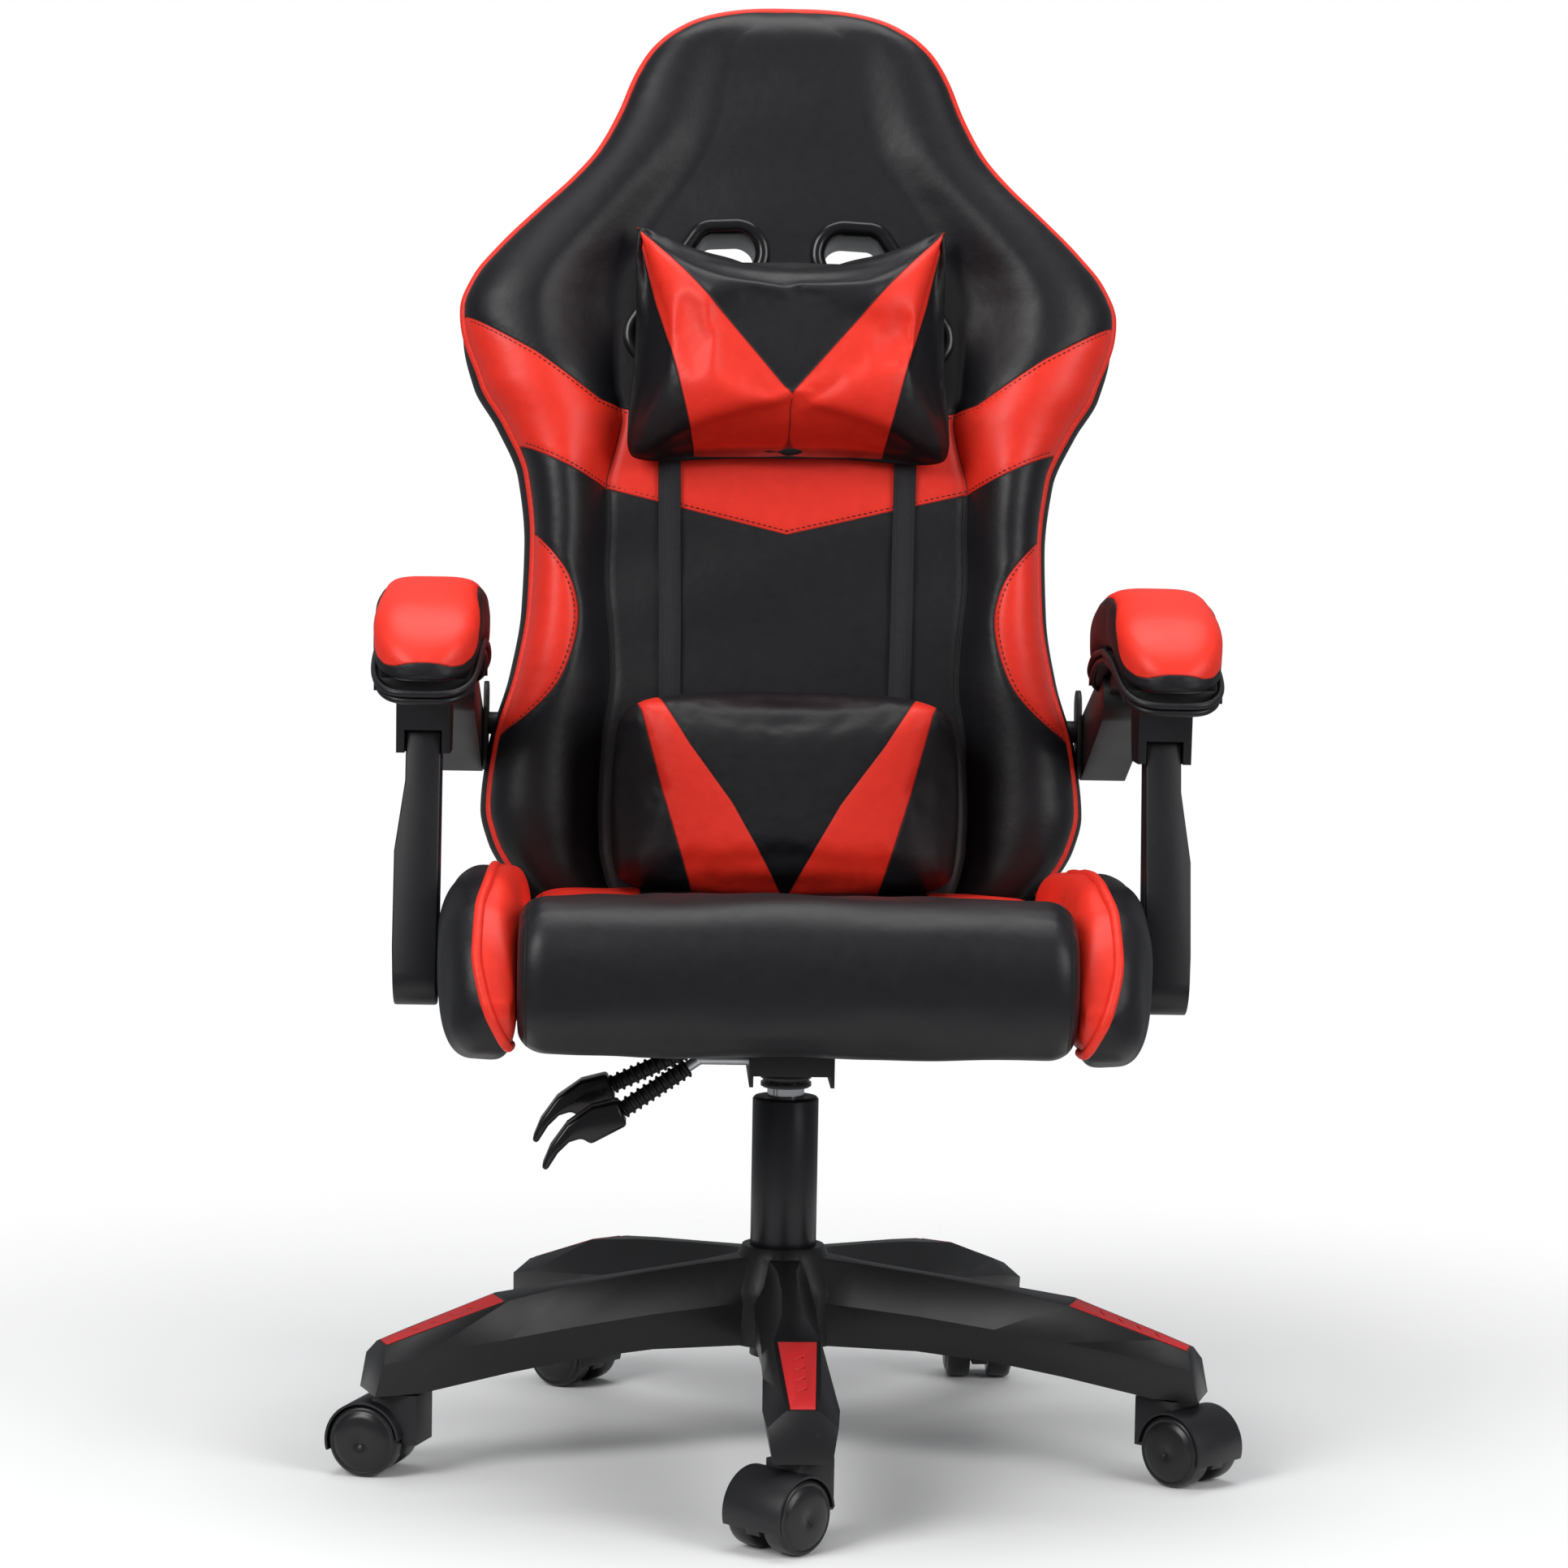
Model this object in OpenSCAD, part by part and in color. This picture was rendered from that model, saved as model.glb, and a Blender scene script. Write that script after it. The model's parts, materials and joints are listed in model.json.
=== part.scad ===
// Gaming chair: five-leg caster base, gas lift, bolstered seat, and a reclining back whose
// armrests stay level on a parallelogram linkage.
// Millimetres. +Z is up and -Y is the front. The origin is on the column axis at floor level.
// A point on the back is given in board coordinates: x across, s up the board from the recline
// hinge, and y through it, where front faces are negative.

/* [Base] */
// Circle on which the caster stems stand
base_r = 297; // [270:1:330]
// Turn of the base under the seat at rest, in degrees
base_turn = 1; // [0:1:36]
// Underside height of a leg at its tip
leg_tip_z = 62; // [60:1:66]
// Wall of the moulded legs and hub
base_wall = 3.5; // [2.5:0.1:4.5]
// Top of the hub
hub_top = 156; // [150:1:165]

/* [Casters] */
// Wheel radius
wheel_r = 26.5; // [24:0.5:27.5]
// Width of one wheel
wheel_w = 22; // [16:0.5:24]
// Gap between the twin wheels
wheel_gap = 14; // [13:0.5:18]
// Distance from the stem to the axle
trail = 22; // [18:0.5:24]
// Stem radius
stem_r = 5.5; // [4.5:0.1:6.5]
// Axle radius
axle_r = 3; // [2.5:0.1:4]

/* [Gas lift] */
// Column tube radius
tube_r = 25; // [23:0.5:28]
// Column tube wall
tube_wall = 2; // [1.5:0.1:3]
// Gas cylinder radius
cyl_r = 14; // [12:0.5:16]
// Height of the column tube's top
tube_top = 267; // [255:1:270]
// Lift travel
lift_travel = 80; // [60:1:95]

/* [Seat] */
// Height of the seat's underside
seat_z = 326; // [322:1:390]
// Half width over the side bolsters
seat_half_w = 258; // [248:1:310]
// Half width of the centre cushion
cushion_half_w = 197; // [182:1:200]
// Front edge ahead of the column axis
seat_front = 256; // [240:1:310]
// Thickness of the cushion's front roll
cushion_t = 111; // [96:1:118]
// Drop of the cushion's top from front to rear
cushion_drop = 29; // [10:1:40]
// Rise of the bolsters above the front roll
bolster_rise = 11; // [4:1:20]

/* [Back] */
// Length from the recline hinge to the top
back_h = 763; // [636:1:916]
// Half width at the shoulders
shoulder_half_w = 264; // [220:1:290]
// Lean at rest, in degrees
back_lean = 9; // [6:1:14]
// Recline hinge behind the column axis
hinge_y = 210; // [205:1:250]
// Recline hinge above the seat's underside
hinge_rise = 34; // [30:1:44]
// Depth of the flat panel in front of the board's middle
panel_depth = 35; // [30:1:40]
// Depth of the side bolsters there
bolster_depth = 70; // [55:1:80]
// Thickness of the shell behind the board's middle
rear_depth = 30; // [24:1:36]

/* [Pillows] */
// Half width of the head pillow
head_half_w = 126; // [105:1:140]
// Height of the head pillow
head_h = 182; // [150:1:200]
// Half width of the lumbar pillow
lumbar_half_w = 136; // [110:1:142]
// Height of the lumbar pillow
lumbar_h = 156; // [120:1:170]
// Strap width
strap_w = 18; // [12:1:20]

/* [Arms] */
// Length of the linkage arms between pivots
link_len = 176; // [150:1:210]
// Post pivot in front of the column axis
post_y = 75; // [60:1:95]
// Post pivot above the seat's underside
post_rise = 40; // [34:1:48]
// Post width
post_w = 33; // [28:1:36]
// Pad width
pad_w = 80; // [68:1:90]
// Pad length
pad_len = 290; // [240:1:310]
// Pad thickness
pad_t = 46; // [34:1:52]
// Top of the pad above the post's upper pivot
pad_rise = 117; // [104:1:130]

/* [Levers] */
// Rod radius
rod_r = 4; // [3:0.5:5]
// Radius of the corrugated sleeve
boot_r = 7.5; // [6.5:0.5:9]
// Handle width
handle_w = 26; // [20:1:30]

/* [Hidden] */
$fn = 64;

// Fits
run_gap = 0.05;      // radial clearance of a pin that turns in its bore
soft_gap = 1;        // clearance between soft pieces and what they lie on
eps = 0.5;           // overlap of solids that are joined in one piece

// Colours
BLACK = "#1b1b1d";
RED = "#e8352b";
STEEL = "#8d9096";

// Base
leg_count = 5;
hub_z = 84;                            // underside of the hub
hub_foot_r = 46;
hub_neck_r = 31;
leg_r0 = 24;                           // where a leg starts inside the hub
leg_r1 = base_r + 17;                  // top of its end face
stem_boss_r = 11;
stem_depth = 22;
insert_r0 = base_r - 72;
insert_r1 = base_r + 15;
insert_t = 2.5;
// Turn of each caster about its stem, measured from +X to its axle
CASTER_YAW = [226, 315, 90, 322, 162];

// A leg's section at radius r: height and half width of its top edge, its widest line, its foot
leg_k = base_r / 297;
LEG_TOP_Z = [[24, 150], [60, 146], [110, 141], [170, 134.5], [222, 127], [290, 105], [314, 97]];
LEG_TOP_W = [[24, 13], [60, 7], [110, 6], [170, 8.5], [222, 17], [290, 13.5], [314, 11.5]];
LEG_MID_Z = [[24, 118], [110, 112], [170, 106], [222, 100], [290, 92], [314, 86]];
LEG_MID_W = [[24, 23], [110, 22], [170, 22.5], [222, 24], [290, 27], [314, 24.5]];
LEG_LOW_Z = [[24, 22], [110, 23], [170, 19], [222, 12], [290, 0.5], [314, 0]];
LEG_LOW_W = [[24, 21], [110, 20], [170, 20.5], [222, 21], [290, 21], [314, 20.5]];
function leg_top_z(r) = lookup(r / leg_k, LEG_TOP_Z);

// Lift
tube_foot = 72;
tube_taper = 0.8;                      // how much the tube narrows in the hub
bush_top = tube_top + 2;
bush_len = 70;
rod_core_r = 5;
piston_r = cyl_r - 3;
bearing_z = tube_foot + 4;
bearing_t = 6;
cyl_foot = bearing_z + bearing_t + 4;
cyl_top = seat_z - 8;
cone_len = 42;
cone_drop = 0.8;
valve_r = 3;

// Mechanism
plate_t = 3;
channel_half = 31;
channel_drop = 32;
channel_front = 24;                    // depth of the plate across the channel's front
channel_y0 = -132;
channel_y1 = 90;
plate_half_x = 84;
bolt_x = 68;
bolt_y = 78;
bolt_r = 4;
lever_z = seat_z - 15;                 // height of both lever pivots
height_lever_y = -38;
recline_lever_y = -108;

// Seat
cushion_top = seat_z + cushion_t;
seat_rear = hinge_y - 42;
roll_ry = 56;
frame_r = 10;
frame_z = seat_z + 16;
cross_tube_r = 15;                     // tube under the cushion that ends in the post pivots
boss_len = 33.5;                       // cone boss at each end of it
frame_x = cushion_half_w - 27;
hinge_z = seat_z + hinge_rise;
hinge_x = seat_half_w - 42;            // inner face of the back's hinge plate
hinge_t = 5;
pin_r = 6;
hinge_disc_r = 28;
back_bar_r = 8;
spacer_x = 180;                        // where the arm hanger's spacer starts in the frame
back_disc_r = 21;                      // disc of the back's plate, clear of the rear tube
plate_gap = 0.5;                       // side play between plates that turn on one pin

// Back
back_k = back_h / 763;
wide_k = shoulder_half_w / 264;
back_foot = 22;                        // where the upholstery starts above the hinge
panel_half = 148;
panel_crown = 1;                       // rise of the panel's middle above its edges
// Half width of the outline against height, hips to top
OUTLINE = [[22, 194], [50, 216], [80, 235], [108, 240], [160, 232], [215, 220], [268, 212],
    [321, 210], [375, 217], [416, 235], [455, 257], [490, 264], [522, 259], [560, 232],
    [600, 192], [650, 155], [705, 126], [738, 99], [753, 70], [760, 44], [763, 16]];
// How much narrower the piping is than the outline
PIPING_IN = [[22, 8], [108, 8], [215, 8], [321, 9], [416, 9], [490, 4], [560, 2], [763, 1]];
BOLSTER = [[22, 0.62], [108, 0.86], [250, 1], [420, 0.94], [560, 0.72], [705, 0.5], [763, 0.26]];
PANEL = [[22, 1], [600, 1], [705, 0.86], [753, 0.6], [763, 0.2]];
REAR = [[22, 0.8], [60, 1], [600, 1], [705, 0.8], [753, 0.5], [763, 0.15]];

// Belt holes, as circles [x, s, radius] whose hull is the opening
HOLE = [[44, 557, 15], [63, 562, 9], [107, 489, 14]];
trim_rim = 13;
trim_proud = 3;
trim_wall = 3;
trim_sink = 1;                         // how far a flange is pressed into the cover
trim_front = -panel_depth - panel_crown - trim_proud;
trim_rear = rear_depth - trim_sink + trim_proud;

// Pillows
head_s = 389;
lumbar_s = 40;
head_t = 74;
lumbar_t = 92;
strap_t = 1.6;
strap_gap = 0.5;                       // clearance of a strap from what it lies on
strap_front = trim_front - strap_gap - strap_t;
strap_rear = trim_rear + strap_gap;
strap_x_head = 96;
strap_x_lumbar = 89;

// Arms
arm_in = seat_half_w + 2;              // inner face of the post
post_foot_r = 22;
post_head_r = 15;
A0 = [-post_y, seat_z + post_rise];
LINK = [link_len * sin(back_lean), link_len * cos(back_lean)];
A1 = A0 + LINK;
B1 = [hinge_y, hinge_z] + LINK;
cheek_t = 6;
cheek_drop = 11;                       // how far the cheeks reach below the pivot
slot_gap = 1;
head_recess = 4.5;                     // how far the post's head sits behind the block's face
lip_t = 3;                             // lip over the top of the post's head
lip_cover = 9;
block_rear = 30;                       // how far the block reaches behind the pivot
leg_inset = 40;                        // from the pad's rear end to the leg's upper end
leg_top_drop = 14;
leg_top_r = 20;
leg_foot_r = 25;
leg_drop = 14;                         // how far the rear leg's end reaches below its pivot
beam_t = 16;
tray_inset = 24;
post_head_w = post_w - 7;
hanger_x = seat_half_w - 21;           // inner face of the side bracket
hanger_t = 4;
leg_in = hanger_x + hanger_t + 0.5;    // inner face of the arm's rear leg
leg_w = 36;
pad_x = arm_in + 9;                    // middle of the pad
pad_mid_y = -20;
pad_arch = 0.0016;
tray_t = 9;

function arch_z(y) = A1[1] + pad_rise - pad_t - pad_arch * pow(y - pad_mid_y, 2);

// ---- helpers ----

// Faces of a closed loft of m rings with n points each, where every ring runs anticlockwise
// as seen from the last ring's side
function loft_faces(m, n) = concat(
    [[for (i = [0:n - 1]) i]],
    [[for (i = [n - 1:-1:0]) (m - 1) * n + i]],
    [for (j = [0:m - 2], i = [0:n - 1]) [j * n + i, (j + 1) * n + i, j * n + (i + 1) % n]],
    [for (j = [0:m - 2], i = [0:n - 1])
        [j * n + (i + 1) % n, (j + 1) * n + i, (j + 1) * n + (i + 1) % n]]);

module loft(rings) {
    polyhedron(points = [for (ring = rings) each ring],
        faces = loft_faces(len(rings), len(rings[0])), convexity = 8);
}

// Round bar from p to q
module bar(p, q, r) {
    d = q - p;
    flat = norm([d[0], d[1]]);
    translate(p)
        rotate([0, atan2(flat, d[2]), flat > 0 ? atan2(d[1], d[0]) : 0])
            cylinder(h = norm(d), r = r);
}

// Round bars along a path with slightly larger balls between them
module bent_bar(path, r) {
    for (i = [0:len(path) - 2])
        bar(path[i], path[i + 1], r);
    for (i = [1:len(path) - 2])
        translate(path[i]) sphere(r = r + 0.4);
}

module along_x(x0, x1) {
    translate([x0, 0, 0]) rotate([90, 0, 90]) linear_extrude(x1 - x0) children();
}

// Drilled or solid round along X through a point of the side view
module cross_pin(at, x0, x1, r) {
    translate([x0, at[0], at[1]]) rotate([0, 90, 0]) cylinder(h = x1 - x0, r = r);
}

// Stadium with two end radii in the side view
module link_outline(p, rp, q, rq) {
    hull() {
        translate(p) circle(r = rp, $fn = 32);
        translate(q) circle(r = rq, $fn = 32);
    }
}

module on_board() {
    translate([0, hinge_y, hinge_z]) rotate([-back_lean, 0, 0]) children();
}

// A side: 1 is the chair's right as seen from the front, -1 its mirror image
module side(sign) {
    if (sign > 0) children();
    else mirror([1, 0, 0]) children();
}

module at_leg(k) {
    rotate([0, 0, base_turn - 90 + 360 / leg_count * k]) children();
}

module at_caster(k) {
    az = base_turn - 90 + 360 / leg_count * k;
    translate([base_r * cos(az), base_r * sin(az), 0]) rotate([0, 0, CASTER_YAW[k]]) children();
}

// ---- base ----

// Leg ring at radius r, drawn in by inset; the end face rakes outwards below
function leg_ring(r, inset, rake = 0) =
    let (q = r / leg_k,
        zt = lookup(q, LEG_TOP_Z) - inset, wt = lookup(q, LEG_TOP_W) - inset,
        zm = lookup(q, LEG_MID_Z), wm = lookup(q, LEG_MID_W) - inset,
        zb = leg_tip_z + lookup(q, LEG_LOW_Z) - (inset > 0 ? 2 * eps : 0),
        wb = lookup(q, LEG_LOW_W) - inset)
    [[r, -wt, zt], [r + rake * 0.45, -wm, zm], [r + rake, -wb, zb],
     [r + rake, wb, zb], [r + rake * 0.45, wm, zm], [r, wt, zt]];

module leg_solid() {
    loft([for (r = [leg_r0, 60 * leg_k, 110 * leg_k, 170 * leg_k, 222 * leg_k, 290 * leg_k])
        leg_ring(r, 0), leg_ring(leg_r1, 0, 10)]);
}

module leg_cells() {
    cells = 5;
    r0 = hub_foot_r + 6;
    r1 = base_r - stem_boss_r - 6;
    pitch = (r1 - r0) / cells;
    for (i = [0:cells - 1])
        loft([leg_ring(r0 + i * pitch + 1.5, base_wall), leg_ring(r0 + (i + 1) * pitch - 1.5, base_wall)]);
}

module insert_outline(grow) {
    w0 = lookup(insert_r0 / leg_k, LEG_TOP_W) - 3 + grow;
    w1 = lookup(insert_r1 / leg_k, LEG_TOP_W) - 3 + grow;
    polygon([[insert_r0 - grow, -w0], [insert_r1 + grow, -w1], [insert_r1 + grow, w1], [insert_r0 - grow, w0]]);
}

// A slab under the leg's sloping top between the insert's ends
module insert_slab(grow, up) {
    z0 = leg_top_z(insert_r0);
    z1 = leg_top_z(insert_r1);
    slope = atan2(z0 - z1, insert_r1 - insert_r0);
    intersection() {
        linear_extrude(400) insert_outline(grow);
        translate([insert_r0, 0, z0]) rotate([0, slope, 0])
            translate([-20, -40, -insert_t]) cube([160, 80, insert_t + up]);
    }
}

module star_base() {
    color(BLACK) difference() {
        union() {
            rotate_extrude() polygon([[0, hub_z], [hub_foot_r, hub_z], [hub_foot_r, hub_z + 40],
                [hub_neck_r + 6, hub_top - 12], [hub_neck_r, hub_top], [0, hub_top]]);
            for (k = [0:leg_count - 1]) at_leg(k) leg_solid();
        }
        for (k = [0:leg_count - 1]) at_leg(k) {
            leg_cells();
            insert_slab(0.15, 10);
            translate([base_r, 0, leg_tip_z - 1]) cylinder(h = stem_depth + 1, r = stem_r + run_gap);
        }
        hub_bore(0.05);
    }
}

module hub_bore(gap) {
    translate([0, 0, hub_z - 1])
        cylinder(h = hub_top - hub_z + 2, r1 = tube_r - tube_taper + gap, r2 = tube_r + gap);
}

module leg_inserts() {
    color(RED) for (k = [0:leg_count - 1]) at_leg(k) difference() {
        insert_slab(0, 0.8);
        // diagonal grooves
        for (i = [0:3]) translate([insert_r0 + 22 + 14 * i, 0, leg_top_z(insert_r0 + 22 + 14 * i) + 0.6])
            rotate([0, 16, 35]) cube([1.6, 22, 1.6], center = true);
    }
}

// ---- gas lift ----

module lift_tube() {
    color(BLACK) difference() {
        union() {
            translate([0, 0, hub_z - 1]) cylinder(h = hub_top - hub_z + 2, r1 = tube_r - tube_taper, r2 = tube_r);
            translate([0, 0, hub_top]) cylinder(h = tube_top - hub_top, r = tube_r);
            translate([0, 0, tube_foot]) cylinder(h = hub_z - tube_foot, r = tube_r - tube_taper);
        }
        translate([0, 0, bearing_z]) cylinder(h = tube_top, r = tube_r - tube_wall - tube_taper);
        translate([0, 0, tube_foot - 1]) cylinder(h = 10, r = rod_core_r + run_gap);
    }
}

module guide_bush() {
    color(BLACK) difference() {
        union() {
            translate([0, 0, tube_top - bush_len])
                cylinder(h = bush_len + eps, r = tube_r - tube_wall - tube_taper - run_gap);
            translate([0, 0, tube_top]) cylinder(h = bush_top - tube_top, r1 = tube_r, r2 = tube_r - 1.5);
        }
        cylinder(h = bush_top + 1, r = cyl_r + run_gap);
    }
}

module thrust_bearing() {
    color(STEEL) translate([0, 0, bearing_z]) difference() {
        cylinder(h = bearing_t, r = 14);
        translate([0, 0, -1]) cylinder(h = bearing_t + 2, r = rod_core_r + run_gap);
    }
}

module piston_rod() {
    color(STEEL) {
        translate([0, 0, tube_foot - 6]) cylinder(h = cyl_top - cone_len - 22 - tube_foot, r = rod_core_r);
        // piston
        translate([0, 0, cyl_top - cone_len - 40]) cylinder(h = 12, r = piston_r - run_gap);
        // shoulder on the bearing
        translate([0, 0, bearing_z + bearing_t + 0.1]) cylinder(h = 3, r = rod_core_r + 3);
        // retaining clip
        translate([0, 0, tube_foot - 3]) cylinder(h = 2, r = rod_core_r + 4);
    }
}

module gas_cylinder() {
    color("#c9ccd0") difference() {
        union() {
            translate([0, 0, cyl_foot]) cylinder(h = cyl_top - cone_len - cyl_foot, r = cyl_r);
            translate([0, 0, cyl_top - cone_len]) cylinder(h = cone_len, r1 = cyl_r, r2 = cyl_r - cone_drop);
        }
        translate([0, 0, cyl_foot - 1]) cylinder(h = 20, r = rod_core_r + run_gap);
        translate([0, 0, cyl_foot + 12]) cylinder(h = cyl_top - cone_len - 14 - cyl_foot, r = piston_r);
        translate([0, 0, cyl_top - 34]) cylinder(h = 40, r = valve_r + run_gap);
    }
}

module valve_pin() {
    color(STEEL) translate([0, 0, cyl_top - 28]) cylinder(h = 32, r = valve_r);
}

module taper_cup() {
    cup_h = cone_len;
    cup_r = cyl_r + 3.6;
    color(STEEL) translate([0, 0, cyl_top - cup_h]) difference() {
        union() {
            cylinder(h = seat_z - plate_t - cyl_top + cup_h, r = cup_r);
            for (i = [0:2]) translate([0, 0, 1 + 6 * i]) cylinder(h = 3, r = cup_r + 1.6);
        }
        translate([0, 0, -1]) cylinder(h = cup_h + 1, r1 = cyl_r + 0.03, r2 = cyl_r - cone_drop + 0.01);
        cylinder(h = cup_h + 20, r = cyl_r - cone_drop);
    }
}

// ---- mechanism and levers ----

module mechanism_plate() {
    color("#2a2b2e") difference() {
        union() {
            translate([-plate_half_x, -bolt_y - 18, seat_z - plate_t])
                cube([2 * plate_half_x, 2 * bolt_y + 36, plate_t]);
            translate([-channel_half, channel_y0, seat_z - plate_t])
                cube([2 * channel_half, channel_y1 - channel_y0, plate_t]);
            translate([-channel_half, channel_y0, seat_z - channel_front])
                cube([2 * channel_half, plate_t, channel_front]);
            for (x = [-channel_half, channel_half - plate_t])
                translate([x, channel_y0, seat_z - channel_drop])
                    cube([plate_t, channel_y1 - channel_y0, channel_drop]);
        }
        translate([0, 0, seat_z - plate_t - 1]) cylinder(h = plate_t + 2, r = 8);
        for (x = [-bolt_x, bolt_x], y = [-bolt_y, bolt_y])
            translate([x, y, seat_z - plate_t - 1]) cylinder(h = plate_t + 2, r = bolt_r + 0.2);
        // slots for the lever rods
        for (y = [height_lever_y, recline_lever_y])
            translate([-channel_half - 1, y - rod_r - 2, lever_z - rod_r - 2])
                cube([plate_t + 2, 2 * rod_r + 4, 2 * rod_r + 4]);
    }
}

module mechanism_bolts() {
    color(STEEL) for (x = [-bolt_x, bolt_x], y = [-bolt_y, bolt_y]) translate([x, y, 0]) {
        translate([0, 0, seat_z - plate_t - 5]) cylinder(h = 5, r = 6.5, $fn = 6);
        translate([0, 0, seat_z - plate_t - eps]) cylinder(h = plate_t + 5, r = bolt_r);
    }
}

// Where a lever's rod bends, where its sleeve starts and where its handle takes over
function lever_bend(y) = [-channel_half - 36, y, lever_z];
function lever_root(y, drop) = [-channel_half - 103 + drop, y, lever_z - 31 - drop];

module lever_rod(y, drop) {
    bend = lever_bend(y);
    root = lever_root(y, drop);
    color(STEEL) {
        bent_bar([[-channel_half + 12, y, lever_z], bend, root], rod_r);
        // pivot eye inside the channel
        translate([-channel_half + 12, y - 5, lever_z]) rotate([-90, 0, 0]) cylinder(h = 10, r = rod_r + 2);
    }
}

module lever_boot(y, drop) {
    bend = lever_bend(y);
    root = lever_root(y, drop);
    d = root - bend;
    ribs = 9;
    color(BLACK) translate(bend) rotate([0, atan2(norm([d[0], 0]), d[2]), 180]) difference() {
        union() {
            translate([0, 0, 10]) cylinder(h = norm(d) - 12, r = boot_r - 1.6);
            for (i = [0:ribs]) translate([0, 0, 12 + i * (norm(d) - 20) / ribs])
                cylinder(h = 3, r = boot_r);
        }
        translate([0, 0, 5]) cylinder(h = norm(d), r = rod_r);
    }
}

// Hooked paddle in the front view from its root: socket, back of the hook, tip and its hollow
HANDLE = [[6, -8], [-1, 10], [-20, 5], [-38, -8], [-50, -25], [-56, -40], [-52, -42], [-44, -29],
    [-36, -21], [-27, -18], [-20, -22]];

module lever_handle(y, drop) {
    root = lever_root(y, drop);
    color(BLACK) translate([root[0], y + handle_w / 2, root[2]]) rotate([90, 0, 0])
        linear_extrude(handle_w) polygon([for (i = [len(HANDLE) - 1:-1:0]) HANDLE[i]]);
}

// ---- seat ----

module seat_frame() {
    front_y = -seat_front + 60;
    rear_y = seat_rear + 12;
    color("#3a3b3e") {
        for (x = [-frame_x, frame_x])
            bent_bar([[x, front_y, frame_z], [x, rear_y, frame_z]], frame_r);
        bar([-frame_x, front_y, frame_z], [frame_x, front_y, frame_z], frame_r);
        bar([-hinge_x - 11, rear_y, frame_z], [hinge_x + 11, rear_y, frame_z], frame_r);
        for (x = [-frame_x, frame_x], y = [front_y, rear_y]) translate([x, y, frame_z]) sphere(r = frame_r);
        // straps that carry the mechanism
        for (y = [-bolt_y, bolt_y]) difference() {
            translate([-frame_x, y - 16, seat_z]) cube([2 * frame_x, 32, 8]);
            for (x = [-bolt_x, bolt_x]) translate([x, y, seat_z - 1]) cylinder(h = 10, r = bolt_r);
        }
        // cross tube with the post pivots at its ends
        cross_pin(A0, -arm_in + 0.5, arm_in - 0.5, cross_tube_r);
        for (sign = [-1, 1]) side(sign) {
            translate([arm_in - boss_len - 0.5, A0[0], A0[1]]) rotate([0, 90, 0])
                cylinder(h = boss_len, r1 = cross_tube_r + 6, r2 = cross_tube_r + 0.5);
            cross_pin(A0, arm_in - 2, arm_in + post_w - 5, pin_r);
            hinge_plate_seat();
        }
    }
}

module hinge_plate_seat() {
    x0 = hinge_x + hinge_t + plate_gap;
    difference() {
        along_x(x0, x0 + hinge_t) {
            translate([hinge_y, hinge_z]) circle(r = hinge_disc_r);
            polygon([[hinge_y - 40, frame_z - frame_r + 1], [hinge_y + 20, frame_z - frame_r + 1],
                [hinge_y + hinge_disc_r - 1, hinge_z], [hinge_y - hinge_disc_r + 1, hinge_z]]);
        }
        cross_pin([hinge_y, hinge_z], x0 - 1, x0 + hinge_t + 1, pin_r + run_gap);
    }
}

module seat_pad() {
    top = cushion_top;
    ry = roll_ry;
    rz = cushion_t / 2;
    front = -seat_front + ry;
    color(BLACK) along_x(-cushion_half_w, cushion_half_w) polygon(concat(
        [for (a = [270:-15:90]) [front + ry * cos(a), seat_z + rz + rz * sin(a)]],
        [[front + 130, top - cushion_drop * 0.55], [0.6 * seat_rear, top - cushion_drop],
         [seat_rear, top - cushion_drop], [seat_rear, seat_z]]));
}

// Bolster section at depth y: top height and how far the side is pulled in
BOLSTER_TOP = [[0, 0.42], [0.04, 0.64], [0.12, 0.86], [0.24, 1], [0.4, 0.99], [0.7, 0.91], [0.94, 0.84],
    [1, 0.74]];
BOLSTER_LOW = [[0, 0.2], [0.04, 0.07], [0.12, 0], [1, 0]];
BOLSTER_OUT = [[0, 0.55], [0.04, 0.78], [0.12, 0.93], [0.3, 1], [0.94, 1], [1, 0.9]];

function bolster_ring(t) =
    let (x0 = cushion_half_w + 0.3, full = seat_half_w - x0, w = full * lookup(t, BOLSTER_OUT),
        h = cushion_t + bolster_rise + 7, low = seat_z - 7 + h * lookup(t, BOLSTER_LOW),
        top = seat_z - 7 + h * lookup(t, BOLSTER_TOP), mid = (low + top) / 2 + 6,
        y = -seat_front + 18 + t * (seat_rear + seat_front - 22))
    [for (p = [[0, low + 6], [0.12, low], [0.7, low + 0.2 * h], [0.96, mid - 0.1 * h], [1, mid],
        [0.96, mid + 0.5 * (top - mid)], [0.8, top - 5], [0.5, top], [0.2, top - 6], [0, top - 18]])
        [x0 + w * p[0], y, p[1]]];

module seat_bolster(sign) {
    color(RED) side(sign)
        loft([for (t = [1, 0.94, 0.75, 0.55, 0.42, 0.3, 0.2, 0.12, 0.04, 0]) bolster_ring(t)]);
}

module hinge_cover(sign) {
    x0 = hinge_x + 2 * hinge_t + 1;
    color(BLACK) side(sign) along_x(x0, x0 + 18) union() {
        translate([hinge_y, hinge_z]) circle(r = hinge_disc_r + 7);
        polygon([[hinge_y - 34, frame_z - 14], [hinge_y + 24, frame_z - 14],
            [hinge_y + 33.5, hinge_z - 10], [hinge_y - 33.5, hinge_z - 10]]);
    }
}

module hinge_pins() {
    color(STEEL) for (sign = [-1, 1]) side(sign)
        cross_pin([hinge_y, hinge_z], hinge_x - 6, hinge_x + 2 * hinge_t + 0.5, pin_r);
}

// ---- back ----

function half_w(s) = wide_k * lookup(s / back_k, OUTLINE);

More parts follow.
